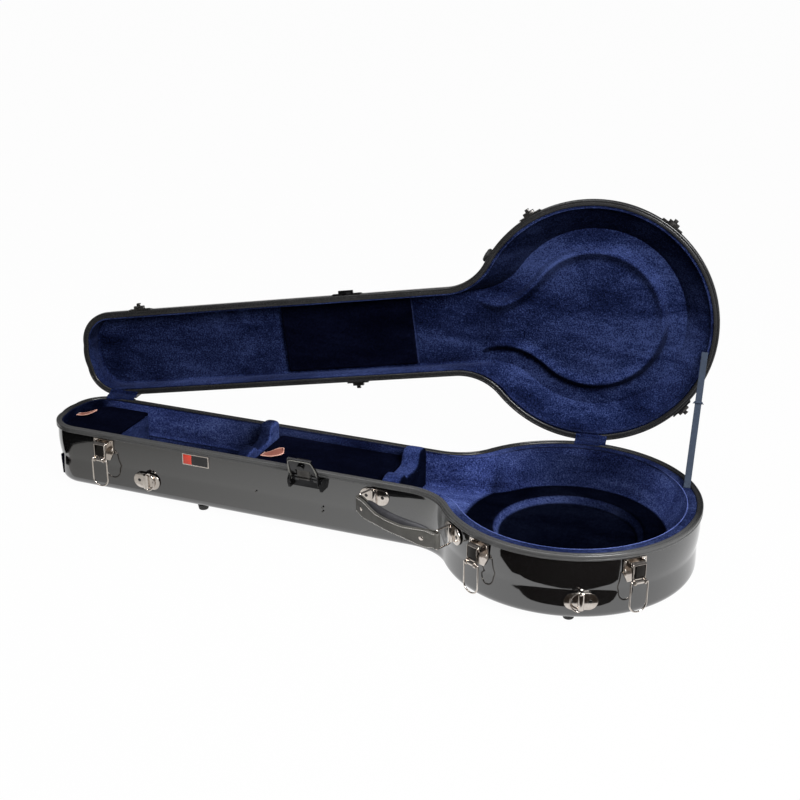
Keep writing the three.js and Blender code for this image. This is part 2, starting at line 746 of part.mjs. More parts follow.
// The keyhole pad: a disc that narrows to a throat and flares toward the neck
function keyholeOutline(grow) {
  const radius = LID_PAD_RADIUS + grow;
  const throat = LID_PAD_THROAT + grow;
  const flare = LID_PAD_FLARE + grow;
  const join = rad(LID_PAD_JOIN_ANGLE);
  const throatX = LID_PAD_THROAT_INSET - BODY_RADIUS;
  const flareX = LID_PAD_FLARE_INSET - BODY_RADIUS - grow;
  const curve = new THREE.CubicBezierCurve(
    new THREE.Vector2(radius * Math.cos(join), radius * Math.sin(join)),
    new THREE.Vector2(throatX + LID_PAD_RADIUS / 4, throat + LID_PAD_THROAT / 4),
    new THREE.Vector2(throatX - LID_PAD_THROAT / 4, throat),
    new THREE.Vector2(flareX, flare));
  const upper = [
    ...arc(new THREE.Vector2(), radius, 0, join, 16),
    ...curve.getPoints(6).slice(1),
    new THREE.Vector2(flareX, 0),
  ];
  const lower = upper.slice(1, -1).reverse().map((p) => new THREE.Vector2(p.x, -p.y));
  return [...upper, ...lower];
}

const lidPad = () => loft([
  { outline: keyholeOutline(0), z: LID_CEILING - LID_PAD_HEIGHT },
  { outline: keyholeOutline(LID_PAD_SLOPE), z: LID_CEILING + GAP },
]);

// The hinge line is the common tangent of the body circle and the head corner.
const CORNER_CENTRE = new THREE.Vector2(
  HEAD_BOW + HEAD_CORNER_RADIUS - NECK_REACH, NECK_HALF_WIDTH - HEAD_CORNER_RADIUS);
const HINGE_SLOPE = Math.asin((BODY_RADIUS - HEAD_CORNER_RADIUS) / CORNER_CENTRE.length())
  - Math.atan2(CORNER_CENTRE.y, -CORNER_CENTRE.x);
const HINGE_AXIS = new THREE.Vector3(Math.cos(HINGE_SLOPE), Math.sin(HINGE_SLOPE), 0);
const HINGE_NORMAL = new THREE.Vector2(-Math.sin(HINGE_SLOPE), Math.cos(HINGE_SLOPE));
const HINGE_LEVEL = RIM_TOP - HINGE_DROP;
const HINGE_LINE = BODY_RADIUS + HINGE_OFFSET;

const hingePoint = (along) => new THREE.Vector2(
  HINGE_NORMAL.x * HINGE_LINE + HINGE_AXIS.x * along,
  HINGE_NORMAL.y * HINGE_LINE + HINGE_AXIS.y * along);

const HEAD_TANGENT = CORNER_CENTRE.dot(new THREE.Vector2(HINGE_AXIS.x, HINGE_AXIS.y));
const HINGE_PLACES = {
  head: hingePoint(HEAD_TANGENT + HEAD_HINGE_SHIFT),
  body: hingePoint(BODY_HINGE_SHIFT),
};

// Stations on the hinge line have their +Y pointing away from the case.
const onHinge = (place, ...children) => placed(place.x, place.y, HINGE_SLOPE, ...children);

// Everything inside the case outline, seen from a hinge station, as tools to fit the leaves
function wallTools(place, levels) {
  return levels.map(([inset, z0, z1]) => {
    const tool = caseLoft([[inset, z0], [inset, z1]]);
    tool.translate(-place.x, -place.y, 0);
    tool.rotateZ(-HINGE_SLOPE);
    return tool;
  });
}

function barrel(x0, x1, radius, sides) {
  const geometry = new THREE.CylinderGeometry(radius, radius, x1 - x0, sides);
  geometry.rotateZ(Math.PI / 2);
  geometry.translate((x0 + x1) / 2, 0, HINGE_LEVEL);
  return geometry;
}

const KNUCKLE = HINGE_WIDTH / 4;
const LEAF_REACH = 12;

function baseLeaf(place) {
  const half = HINGE_WIDTH / 2;
  const body = block(-half, half, -LEAF_REACH, HINGE_LEAF_THICKNESS - HINGE_OFFSET,
    RIM_TOP - HINGE_LEAF_HEIGHT, HINGE_LEVEL);
  const fitted = cut(body, ...wallTools(place, [
    [SHELL_INSET - GAP, 0, RIM_BOTTOM],
    [-GAP, RIM_BOTTOM - GAP, RIM_TOP],
  ]), block(-KNUCKLE - GAP, KNUCKLE + GAP, -HINGE_OFFSET, HINGE_BARREL_RADIUS,
    HINGE_LEVEL - HINGE_BARREL_RADIUS - GAP, RIM_TOP));
  return unite(fitted,
    barrel(-half, -KNUCKLE - GAP, HINGE_BARREL_RADIUS, 10),
    barrel(KNUCKLE + GAP, half, HINGE_BARREL_RADIUS, 10),
    barrel(-half, half, HINGE_PIN_RADIUS, 8));
}

function lidLeaf(place) {
  const half = HINGE_WIDTH / 2;
  const rimTop = LID_RIM_FACE + RIM_HEIGHT;
  const plate = block(-half, half, -LEAF_REACH, HINGE_LEAF_THICKNESS - HINGE_OFFSET,
    LID_RIM_FACE, LID_RIM_FACE + HINGE_LEAF_HEIGHT);
  const neck = block(-KNUCKLE, KNUCKLE, GAP - HINGE_OFFSET, HINGE_LEAF_THICKNESS - HINGE_OFFSET,
    HINGE_LEVEL, LID_RIM_FACE + GAP);
  const fitted = cut(plate, ...wallTools(place, [
    [-GAP, LID_RIM_FACE - GAP, rimTop + GAP],
    [SHELL_INSET - GAP, rimTop, LID_TOP + CUT_OVERRUN],
  ]));
  return cut(unite(fitted, neck, barrel(-KNUCKLE, KNUCKLE, HINGE_BARREL_RADIUS, 10)),
    barrel(-HINGE_WIDTH, HINGE_WIDTH, boreRadius(HINGE_PIN_RADIUS, 8), 8));
}

// Draw latch, drawn at a wall station
const LATCH_TOP = RIM_BOTTOM - LATCH_RIM_GAP;
const LATCH_PIVOT_Z = RIM_TOP - LATCH_PIVOT_DROP;
const ROLL_Z = LATCH_PIVOT_Z - ROLL_DROP;
const PLATE_FRONT = WALL_BACK + LATCH_PLATE_THICKNESS;
const EAR_IN = LEVER_WIDTH / 2 + GAP;
const EAR_OUT = EAR_IN + LATCH_EAR;

function latchPlate() {
  const half = LATCH_PLATE_WIDTH / 2;
  const tip = LATCH_PLATE_TIP / 2;
  const bottom = LATCH_TOP - LATCH_PLATE_HEIGHT;
  const shoulder = bottom + (LATCH_PLATE_WIDTH - LATCH_PLATE_TIP);
  const plate = frontProfile([
    [-tip, bottom], [tip, bottom], [half, shoulder], [half, LATCH_TOP],
    [-half, LATCH_TOP], [-half, shoulder],
  ], WALL_BACK, PLATE_FRONT);
  const earBottom = LATCH_PIVOT_Z - LEVER_TOP_REACH;
  const ear = (side) => {
    const profile = sideProfile([
      [PLATE_FRONT - GAP, earBottom],
      [LATCH_PIVOT_OUT + LATCH_PIN_RADIUS, earBottom],
      [LATCH_PIVOT_OUT + 2 * LATCH_PIN_RADIUS, LATCH_PIVOT_Z],
      [LATCH_PIVOT_OUT, LATCH_PIVOT_Z + LEVER_TOP_REACH],
      [PLATE_FRONT - GAP, LATCH_PIVOT_Z + LEVER_TOP_REACH],
    ], LATCH_EAR);
    profile.translate(side * (EAR_IN + EAR_OUT) / 2, 0, 0);
    return profile;
  };
  return unite(plate, ear(-1), ear(1),
    rod(-EAR_OUT, EAR_OUT, LATCH_PIVOT_OUT, LATCH_PIVOT_Z, LATCH_PIN_RADIUS, 8));
}

function latchLever() {
  const top = LATCH_PIVOT_Z + LEVER_TOP_REACH;
  const waist = ROLL_Z + 2 * ROLL_RADIUS;
  const profile = sideProfile([
    [LEVER_TOP_OUT, top - ROLL_RADIUS / 2],
    [LEVER_TOP_OUT, LATCH_PIVOT_Z - LATCH_PIN_RADIUS * 2],
    [LEVER_BACK_OUT, LATCH_PIVOT_Z - LEVER_TOP_REACH * 2],
    [LEVER_BACK_OUT, waist],
    [ROLL_OUT - ROLL_RADIUS, ROLL_Z],
    [ROLL_OUT, ROLL_Z],
    [LEVER_FRONT_OUT, waist],
    [LEVER_FRONT_OUT, top - ROLL_RADIUS],
    [LATCH_PIVOT_OUT + LATCH_PIN_RADIUS, top],
    [LATCH_PIVOT_OUT - LATCH_PIN_RADIUS, top],
  ].reverse(), LEVER_WIDTH);
  const roll = rod(-LEVER_WIDTH / 2, LEVER_WIDTH / 2, ROLL_OUT, ROLL_Z, ROLL_RADIUS, 12);
  return cut(unite(profile, roll),
    rod(-LEVER_WIDTH, LEVER_WIDTH, LATCH_PIVOT_OUT, LATCH_PIVOT_Z,
      boreRadius(LATCH_PIN_RADIUS, 8), 8),
    rod(-LEVER_WIDTH, LEVER_WIDTH, ROLL_OUT, ROLL_Z, boreRadius(BAIL_WIRE / 2, 8), 8));
}

function latchBail() {
  const leg = (BAIL_WIDTH - BAIL_WIRE) / 2;
  const at = (x, down) => new THREE.Vector3(x, -ROLL_OUT, ROLL_Z - down);
  const right = new THREE.Vector3(1, 0, 0);
  const left = new THREE.Vector3(-1, 0, 0);
  const down = new THREE.Vector3(0, 0, -1);
  const up = new THREE.Vector3(0, 0, 1);
  const stub = LEVER_WIDTH / 2 - BAIL_STUB;
  return wire([
    at(-stub, 0),
    ...bend(at(-leg, 0), left, down, BAIL_WIRE, 2),
    ...bend(at(-leg, BAIL_LENGTH), down, right, BAIL_BEND, 4),
    ...bend(at(leg, BAIL_LENGTH), right, up, BAIL_BEND, 4),
    ...bend(at(leg, 0), up, left, BAIL_WIRE, 2),
    at(stub, 0),
  ], BAIL_WIRE);
}

// The height of the bail's cross wire when it is thrown up over the catch
const HOOKED_Z = ROLL_Z + Math.sqrt(BAIL_LENGTH ** 2 - (ROLL_OUT - BAIL_HOOK_OUT) ** 2);
const CATCH_FOOT = LID_RIM_FACE + 2 * GAP;
const RIM_SHOULDER = LID_RIM_FACE + RIM_HEIGHT + GAP;

// A plate that lies on the lid rim and steps back onto the lid shell above it
function catchPlate(width) {
  const front = GAP + LATCH_PLATE_THICKNESS;
  return sideProfile([
    [GAP, CATCH_FOOT],
    [front, CATCH_FOOT],
    [front, RIM_SHOULDER],
    [PLATE_FRONT, RIM_SHOULDER + LATCH_PLATE_THICKNESS],
    [PLATE_FRONT, CATCH_FOOT + CATCH_HEIGHT],
    [WALL_BACK, CATCH_FOOT + CATCH_HEIGHT],
    [WALL_BACK, RIM_SHOULDER],
    [GAP, RIM_SHOULDER],
  ], width);
}

function latchCatch() {
  const wireUnder = HOOKED_Z - BAIL_WIRE / 2 - GAP;
  const wireFront = BAIL_HOOK_OUT + BAIL_WIRE / 2 + GAP;
  const lipFront = wireFront + CATCH_HOOK_THICKNESS;
  const hook = sideProfile([
    [GAP, wireUnder - CATCH_HOOK_THICKNESS],
    [lipFront, wireUnder - CATCH_HOOK_THICKNESS],
    [lipFront, wireUnder + CATCH_LIP],
    [wireFront, wireUnder + CATCH_LIP],
    [wireFront, wireUnder],
    [GAP, wireUnder],
  ], CATCH_HOOK_WIDTH);
  return unite(catchPlate(LATCH_PLATE_WIDTH), hook);
}

// Centre lock. The hood is drawn closed, hanging down, and turned up to its open place.
const LOCK_PIVOT_Z = RIM_TOP - LOCK_PIVOT_DROP;
const LOCK_TOP = RIM_BOTTOM - LATCH_RIM_GAP;

function lockBase() {
  const half = LOCK_WIDTH / 2;
  const front = WALL_BACK + LOCK_PLATE;
  const plate = frontProfile([
    [-half, LOCK_TOP - LOCK_HEIGHT], [half, LOCK_TOP - LOCK_HEIGHT],
    [half, LOCK_TOP], [-half, LOCK_TOP],
  ], WALL_BACK, front);
  const ear = (side) => {
    const profile = sideProfile([
      [front - GAP, LOCK_TOP - LOCK_HEIGHT],
      [LOCK_PIVOT_OUT, LOCK_TOP - LOCK_HEIGHT],
      [LOCK_EAR_OUT, LOCK_PIVOT_Z - LOCK_EAR],
      [LOCK_EAR_OUT, LOCK_PIVOT_Z + LOCK_EAR / 2],
      [LOCK_PIVOT_OUT, LOCK_TOP],
      [front - GAP, LOCK_TOP],
    ], LOCK_EAR);
    profile.translate(side * (half - LOCK_EAR / 2), 0, 0);
    return profile;
  };
  const stubIn = half - LOCK_EAR - HOOD_CHEEK - 2 * GAP;
  return unite(plate, ear(-1), ear(1),
    rod(-half + GAP, -stubIn, LOCK_PIVOT_OUT, LOCK_PIVOT_Z, LOCK_PIN_RADIUS, 8),
    rod(stubIn, half - GAP, LOCK_PIVOT_OUT, LOCK_PIVOT_Z, LOCK_PIN_RADIUS, 8));
}

// The hood around its own pivot: outward is -Y, the free end hangs at -Z
function lockHood() {
  const half = LOCK_WIDTH / 2 - LOCK_EAR - GAP;
  const tip = HOOD_TIP_WIDTH / 2;
  const top = LOCK_EAR;
  const notch = CLAW_WIDTH / 2 + CLAW_THICKNESS;
  const plate = frontProfile([
    [-tip, -HOOD_LENGTH], [tip, -HOOD_LENGTH],
    [half, -HOOD_LENGTH / 2], [half, top],
    [notch, top], [notch, -CLAW_NOTCH_DEPTH], [-notch, -CLAW_NOTCH_DEPTH], [-notch, top],
    [-half, top], [-half, -HOOD_LENGTH / 2],
  ], HOOD_FRONT - HOOD_PLATE, HOOD_FRONT);
  const cheekBack = HOOD_FRONT - HOOD_CHEEK_DEPTH;
  const cheek = (side) => {
    const profile = sideProfile([
      [cheekBack, -LOCK_EAR],
      [HOOD_FRONT - HOOD_PLATE / 2, -HOOD_LENGTH / 2],
      [HOOD_FRONT - HOOD_PLATE / 2, top],
      [cheekBack + HOOD_PLATE, top],
      [cheekBack, top / 2],
    ], HOOD_CHEEK);
    profile.translate(side * (half - HOOD_CHEEK / 2), 0, 0);
    return profile;
  };
  const pin = rod(-half + GAP, half - GAP, CLAW_PIVOT_OUT, -CLAW_PIVOT_DROP, CLAW_PIN_RADIUS, 8);
  const lip = sideProfile([
    [HOOD_FRONT - HOOD_PLATE, -HOOD_LENGTH],
    [HOOD_FRONT + HOOD_PLATE, -HOOD_LENGTH],
    [HOOD_FRONT, HOOD_PLATE * 2 - HOOD_LENGTH],
    [HOOD_FRONT - HOOD_PLATE, HOOD_PLATE * 2 - HOOD_LENGTH],
  ], HOOD_TIP_WIDTH);
  const cylinder = new THREE.CylinderGeometry(CYLINDER_RADIUS, CYLINDER_RADIUS, CYLINDER_REACH, 12);
  cylinder.translate(0, CYLINDER_REACH / 2 + HOOD_PLATE / 2 - HOOD_FRONT, -CYLINDER_DROP);
  return cut(unite(plate, cheek(-1), cheek(1), pin, lip, cylinder),
    rod(-LOCK_WIDTH, LOCK_WIDTH, 0, 0, boreRadius(LOCK_PIN_RADIUS, 8), 8));
}

// The claw around its own pin, standing up, with its lip turned in toward the lid
function lockClaw() {
  const back = -CLAW_THICKNESS / 2;
  const front = CLAW_THICKNESS / 2;
  const arm = sideProfile([
    [back, 0],
    [front, 0],
    [front, CLAW_LENGTH],
    [back - CLAW_LIP, CLAW_LENGTH],
    [back - CLAW_LIP, CLAW_LENGTH - CLAW_THICKNESS],
    [back, CLAW_LENGTH - CLAW_THICKNESS],
  ], CLAW_WIDTH);
  const eye = rod(-CLAW_WIDTH / 2, CLAW_WIDTH / 2, 0, 0, CLAW_EYE_RADIUS, 10);
  return cut(unite(arm, eye),
    rod(-CLAW_WIDTH, CLAW_WIDTH, 0, 0, boreRadius(CLAW_PIN_RADIUS, 8), 8));
}

function lockCatch() {
  const lipUnder = LOCK_PIVOT_Z - CLAW_PIVOT_DROP + CLAW_LENGTH - CLAW_THICKNESS;
  const lug = sideProfile([
    [GAP, CATCH_FOOT],
    [LUG_OUT, CATCH_FOOT],
    [LUG_OUT, lipUnder - GAP],
    [GAP, lipUnder - GAP],
  ], LUG_WIDTH);
  return unite(catchPlate(LOCK_CATCH_WIDTH), lug);
}

// Two lobes with a raised ridge that holds a vertical bar. Drawn about its own centre.
const BAR_OUT = WALL_BACK + BRACKET_BAR_OUT;
const RING_BAR_OUT = LOWER_BACK + BRACKET_BAR_OUT;

function ridgeBracket(barRadius, back) {
  const lobe = BRACKET_HEIGHT / 2;
  const reach = BRACKET_WIDTH / 2 - lobe;
  const front = back + BRACKET_PLATE;
  const outline = [
    ...arc(new THREE.Vector2(reach, 0), lobe, -Math.PI / 2, Math.PI / 2, 8),
    ...arc(new THREE.Vector2(-reach, 0), lobe, Math.PI / 2, 1.5 * Math.PI, 8),
  ];
  const plate = frontProfile(outline.map((p) => [p.x, p.y]), back, front);
  const half = BRACKET_RIDGE_WIDTH / 2;
  const bulge = back + BRACKET_RIDGE_OUT;
  const section = new THREE.Shape([
    [-half, front - GAP], [half, front - GAP], [half, bulge - half / 2],
    [half / 2, bulge], [-half / 2, bulge], [-half, bulge - half / 2],
  ].map(([x, out]) => new THREE.Vector2(x, -out)).reverse());
  const ridge = new THREE.ExtrudeGeometry(section, {
    depth: BRACKET_RIDGE_HEIGHT,
    bevelEnabled: false,
  });
  ridge.translate(0, 0, -BRACKET_RIDGE_HEIGHT / 2);
  return cut(unite(plate, ridge),
    post(0, -back - BRACKET_BAR_OUT, -BRACKET_HEIGHT, BRACKET_HEIGHT,
      boreRadius(barRadius, 8), boreRadius(barRadius, 8), 8));
}

// A D ring with its split inside the ridge, lying toward `side`
function strapRing(side) {
  const at = (x, z) => new THREE.Vector3(side * x, -RING_BAR_OUT, z);
  const bow = arc(new THREE.Vector2(), RING_RADIUS, Math.PI / 2, -Math.PI / 2, 10)
    .map((p) => at(p.x, p.y));
  return wire([
    at(0, GAP),
    at(0, RING_RADIUS - RING_WIRE / 2),
    at(RING_WIRE / 4, RING_RADIUS - RING_WIRE / 8),
    ...bow.slice(1, -1),
    at(RING_WIRE / 4, RING_WIRE / 8 - RING_RADIUS),
    at(0, RING_WIRE / 2 - RING_RADIUS),
    at(0, -GAP),
  ], RING_WIRE);
}

// Carrying handle. Its loops turn on upright bars and its grip stays parallel to the wall.
function barPoint(x, y, turn) {
  return new THREE.Vector2(x + BAR_OUT * Math.sin(turn), y - BAR_OUT * Math.cos(turn));
}

const HANDLE_HEAD_BAR = barPoint(HANDLE_HEAD_X, -NECK_HALF_WIDTH, 0);
const HANDLE_BODY_BAR = barPoint(
  BODY_RADIUS * Math.cos(rad(HANDLE_BODY_ANGLE)),
  BODY_RADIUS * Math.sin(rad(HANDLE_BODY_ANGLE)),
  rad(HANDLE_BODY_ANGLE) + Math.PI / 2);
const HANDLE_SPAN = HANDLE_HEAD_BAR.distanceTo(HANDLE_BODY_BAR);
const HANDLE_TURN = Math.atan2(
  HANDLE_BODY_BAR.y - HANDLE_HEAD_BAR.y, HANDLE_BODY_BAR.x - HANDLE_HEAD_BAR.x);

// A rectangular loop about a bar at the origin, reaching out along -Y
function handleLoop() {
  const half = LOOP_HEIGHT / 2;
  const at = (out, z) => new THREE.Vector3(0, -out, z);
  const up = new THREE.Vector3(0, 0, 1);
  const down = new THREE.Vector3(0, 0, -1);
  const outward = new THREE.Vector3(0, -1, 0);
  const inward = new THREE.Vector3(0, 1, 0);
  return wire([
    at(0, GAP),
    ...bend(at(0, half), up, outward, LOOP_WIRE / 2, 2),
    ...bend(at(LOOP_REACH, half), outward, down, LOOP_BEND, 2),
    ...bend(at(LOOP_REACH, -half), down, inward, LOOP_BEND, 2),
    ...bend(at(0, -half), inward, up, LOOP_WIRE / 2, 2),
    at(0, -GAP),
  ], LOOP_WIRE);
}

// The grip between two bars at x = 0 and x = span, bowed outward along -Y
function handleGrip(span) {
  const steps = 8;
  const half = GRIP_THICKNESS / 2;
  const shares = Array.from({ length: steps + 1 }, (_, i) => i / steps);
  const middle = (t) => GRIP_BOW * Math.sin(Math.PI * t);
  const edge = (side) => shares.map((t) =>
    new THREE.Vector2(span * t, -(middle(t) + side * half)));
  const shape = new THREE.Shape([
    new THREE.Vector2(-half, half / 2),
    new THREE.Vector2(-half, -half / 2),
    ...edge(1),
    new THREE.Vector2(span + half, -half / 2),
    new THREE.Vector2(span + half, half / 2),
    ...edge(-1).reverse(),
  ]);
  const body = new THREE.ExtrudeGeometry(shape, { depth: GRIP_WIDTH, bevelEnabled: false });
  body.translate(0, 0, -GRIP_WIDTH / 2);
  const eye = boreRadius(LOOP_WIRE / 2, 8);
  return cut(body,
    post(0, 0, -GRIP_WIDTH, GRIP_WIDTH, eye, eye, 8),
    post(span, 0, -GRIP_WIDTH, GRIP_WIDTH, eye, eye, 8));
}

// Badge plate with a raised frame and a bare field
function badgePlate() {
  const half = BADGE_WIDTH / 2;
  const tall = BADGE_HEIGHT / 2;
  const front = WALL_BACK + BADGE_THICKNESS;
  const rect = (x, z) => [[-x, -z], [x, -z], [x, z], [-x, z]];
  return cut(
    frontProfile(rect(half, tall), WALL_BACK, front),
    frontProfile(rect(half - BADGE_FRAME, tall - BADGE_FRAME), front - BADGE_RECESS, front + GAP));
}

function bumper() {
  const body = new THREE.LatheGeometry([
    new THREE.Vector2(0, WALL_BACK),
    new THREE.Vector2(BUMPER_RADIUS, WALL_BACK),
    new THREE.Vector2(BUMPER_RADIUS, BUMPER_OUT / 2),
    new THREE.Vector2(BUMPER_RADIUS - BUMPER_CROWN_INSET, BUMPER_OUT - BUMPER_CROWN),
    new THREE.Vector2(0, BUMPER_OUT),
  ], 16);
  body.rotateX(Math.PI);
  return body;
}

const foot = (x, y) => post(x, y, 0, FOOT_HEIGHT - GAP, FOOT_BASE_RADIUS, FOOT_TOP_RADIUS, 16);

const neckFoot = (side) =>
  foot(NECK_FOOT_FROM_HEAD - NECK_REACH, side * (NECK_HALF_WIDTH - NECK_FOOT_INSET));

const bodyFoot = (side) => foot(
  (BODY_RADIUS - BODY_FOOT_INSET) * Math.cos(rad(BODY_FOOT_ANGLE)),
  (BODY_RADIUS - BODY_FOOT_INSET) * Math.sin(rad(BODY_FOOT_ANGLE)) * side);

// Hinge flap: plush bridging the gap between the two linings, drawn with the lid open
function openPoint(across, level) {
  const closed = new THREE.Vector3(
    HINGE_NORMAL.x * across, HINGE_NORMAL.y * across, level);
  return closed.sub(LID_PIVOT).applyAxisAngle(HINGE_AXIS, rad(-LID_OPEN_ANGLE)).add(LID_PIVOT);
}

const LID_PIVOT = new THREE.Vector3(
  HINGE_NORMAL.x * HINGE_LINE, HINGE_NORMAL.y * HINGE_LINE, HINGE_LEVEL);

function hingeFlap() {
  const baseInset = BODY_RADIUS - RIM_WIDTH;
  const lidEdge = openPoint(baseInset, LID_RIM_FACE - FLAP_THICKNESS);
  const out = (p) => Math.hypot(p.x, p.y) - HINGE_LINE;
  const start = new THREE.Vector2(baseInset - HINGE_LINE, RIM_TOP + GAP);
  const end = new THREE.Vector2(out(lidEdge), lidEdge.z);
  const along = end.clone().sub(start).normalize();
  const thick = new THREE.Vector2(-along.y, along.x).multiplyScalar(FLAP_THICKNESS);
  const shape = new THREE.Shape([
    start, end, end.clone().add(thick), start.clone().add(thick),
  ]);
  const geometry = new THREE.ExtrudeGeometry(shape, { depth: FLAP_WIDTH, bevelEnabled: false });
  geometry.translate(0, 0, -FLAP_WIDTH / 2);
  geometry.applyMatrix4(new THREE.Matrix4().makeBasis(
    new THREE.Vector3(0, 1, 0),
    new THREE.Vector3(0, 0, 1),
    new THREE.Vector3(1, 0, 0)));
  return geometry;
}

// Stay strap, a flat web from the base to the open lid
function stayStrap() {
  const radius = (POT_LIP_RADIUS + BODY_RADIUS - RIM_WIDTH) / 2;
  const baseEnd = new THREE.Vector3(
    radius * Math.cos(rad(STRAP_BASE_ANGLE)),
    radius * Math.sin(rad(STRAP_BASE_ANGLE)),
    LINING_TOP + GAP + STRAP_THICKNESS / 2);
  const lidEnd = new THREE.Vector3(
    radius * Math.cos(rad(STRAP_LID_ANGLE)),
    radius * Math.sin(rad(STRAP_LID_ANGLE)),
    LID_RIM_FACE + LINING_TOP_DROP - GAP - STRAP_THICKNESS / 2);
  lidEnd.sub(LID_PIVOT).applyAxisAngle(HINGE_AXIS, rad(-LID_OPEN_ANGLE)).add(LID_PIVOT);
  const along = lidEnd.clone().sub(baseEnd);
  const length = along.length();
  along.normalize();
  const across = new THREE.Vector3(HINGE_AXIS.x, HINGE_AXIS.y, 0);
  across.addScaledVector(along, -across.dot(along)).normalize();
  const flat = new THREE.Vector3().crossVectors(along, across);
  const geometry = new THREE.BoxGeometry(STRAP_WIDTH, STRAP_THICKNESS, length);
  geometry.translate(0, 0, length / 2);
  geometry.applyMatrix4(new THREE.Matrix4().makeBasis(across, flat, along));
  geometry.translate(baseEnd.x, baseEnd.y, baseEnd.z);
  return geometry;
}

// Assemblies
const LATCHES = [
  ['head', (...children) => onFrontNeck(HEAD_LATCH_FROM_HEAD - NECK_REACH, ...children)],
  ['waist', (...children) => onBody(FRONT_WAIST_LATCH_ANGLE, ...children)],
  ['tail', (...children) => onBody(FRONT_TAIL_LATCH_ANGLE, ...children)],
  ['rear_neck', (...children) =>
    onRearNeck(-BODY_RADIUS - REAR_NECK_LATCH_FROM_BODY, ...children)],
  ['rear_tail', (...children) => onBody(REAR_TAIL_LATCH_ANGLE, ...children)],
];

function drawLatch(name, station) {
  return station(
    piece(`${name}_latch_plate`, latchPlate(), nickel()),
    piece(`${name}_latch_lever`, latchLever(), nickel()),
    piece(`${name}_latch_bail`, latchBail(), nickel()));
}

function centreLock() {
  const claw = new THREE.Group();
  claw.position.set(0, -CLAW_PIVOT_OUT, -CLAW_PIVOT_DROP);
  claw.rotation.x = rad(HOOD_OPEN_ANGLE + CLAW_REST_LEAN);
  claw.add(piece('lock_claw', lockClaw(), nickel()));
  const hood = new THREE.Group();
  hood.position.set(0, -LOCK_PIVOT_OUT, LOCK_PIVOT_Z);
  hood.rotation.x = -rad(HOOD_OPEN_ANGLE);
  hood.add(piece('lock_lever', lockHood(), blackMetal()), claw);
  return onFrontNeck(LOCK_X, piece('lock_base', lockBase(), blackMetal()), hood);
}

function bracketAt(name, station, height, geometry, ...extra) {
  const group = new THREE.Group();
  group.position.z = height;
  group.add(piece(name, geometry, nickel()), ...extra);
  return station(group);
}

function strapRings() {
  const atHead = (...children) => onFrontNeck(HEAD_RING_FROM_HEAD - NECK_REACH, ...children);
  const atTail = (...children) => onBody(TAIL_RING_ANGLE, ...children);
  const bracket = () => ridgeBracket(RING_WIRE / 2, LOWER_BACK);
  return [
    bracketAt('head_ring_bracket', atHead, RING_HEIGHT, bracket(),
      piece('head_strap_ring', strapRing(1), nickel())),
    bracketAt('tail_ring_bracket', atTail, RING_HEIGHT, bracket(),
      piece('tail_strap_ring', strapRing(-1), nickel())),
  ];
}

function carryingHandle() {
  const atHead = (...children) => onFrontNeck(HANDLE_HEAD_X, ...children);
  const atBody = (...children) => onBody(HANDLE_BODY_ANGLE, ...children);
  const bracket = () => ridgeBracket(LOOP_WIRE / 2, WALL_BACK);
  const headLoop = piece('handle_head_loop', handleLoop(), nickel());
  const bodyLoop = piece('handle_body_loop', handleLoop(), nickel());
  bodyLoop.position.x = HANDLE_SPAN;
  const grip = piece('handle_grip', handleGrip(HANDLE_SPAN), charcoalLeather());
  grip.position.y = -LOOP_REACH;
  const linkage = placed(HANDLE_HEAD_BAR.x, HANDLE_HEAD_BAR.y, HANDLE_TURN,
    headLoop, bodyLoop, grip);
  linkage.position.z = HANDLE_HEIGHT;
  return [
    bracketAt('handle_head_bracket', atHead, HANDLE_HEIGHT, bracket()),
    bracketAt('handle_body_bracket', atBody, HANDLE_HEIGHT, bracket()),
    linkage,
  ];
}

function badge() {
  const mesh = piece('badge_plate', badgePlate(), badgeBlack());
  mesh.position.z = RIM_BOTTOM - BADGE_RIM_GAP - BADGE_HEIGHT / 2;
  return onFrontNeck(-BADGE_REACH_SHARE * NECK_REACH, mesh);
}

function baseParts() {
  return [
    piece('base_shell', baseShell(), glossBlack()),
    piece('base_rim', rimLoft(RIM_TOP, -1), rimGrey()),
    piece('base_lining', baseLining(), bluePlush()),
    piece('neck_rest', neckRest(NECK_REST_X, NECK_REST_LENGTH, NECK_REST_SLOT,
      RIM_TOP - NECK_REST_SLOT_DROP, NECK_WELL_FLOOR + GAP), bluePlush()),
    piece('heel_rest', neckRest(HEEL_REST_X, HEEL_REST_LENGTH, HEEL_REST_SLOT,
      RIM_TOP - HEEL_REST_SLOT_DROP, POT_FLOOR_HEIGHT + GAP), bluePlush()),
    piece('head_box_wall', headBoxWall(), bluePlush()),
    piece('head_box_lid', boxLid(HEAD_BOX_LID_X, HEAD_BOX_HINGE_X, true), darkPlush()),
    piece('head_box_tab', pullTab(HEAD_BOX_LID_X + TAB_THICKNESS, HEAD_TAB_Y), tanLeather()),
    piece('middle_box_lid', boxLid(MIDDLE_BOX_LID_X, MIDDLE_BOX_HINGE_X, false), darkPlush()),
    piece('middle_box_tab', pullTab(MIDDLE_BOX_LID_X + TAB_LENGTH / 4, MIDDLE_TAB_Y),
      tanLeather()),
    ...LATCHES.map(([name, station]) => drawLatch(name, station)),
    centreLock(),
    ...carryingHandle(),
    ...strapRings(),
    badge(),
    piece('front_neck_foot', neckFoot(-1), blackRubber()),
    piece('rear_neck_foot', neckFoot(1), blackRubber()),
    piece('front_body_foot', bodyFoot(-1), blackRubber()),
    piece('rear_body_foot', bodyFoot(1), blackRubber()),
    ...Object.entries(HINGE_PLACES).map(([name, place]) => onHinge(place,
      piece(`${name}_hinge_base_leaf`, baseLeaf(place), blackMetal()),
      piece(`${name}_hinge_flap`, hingeFlap(), bluePlush()))),
    piece('stay_strap', stayStrap(), blueWebbing()),
  ];
}

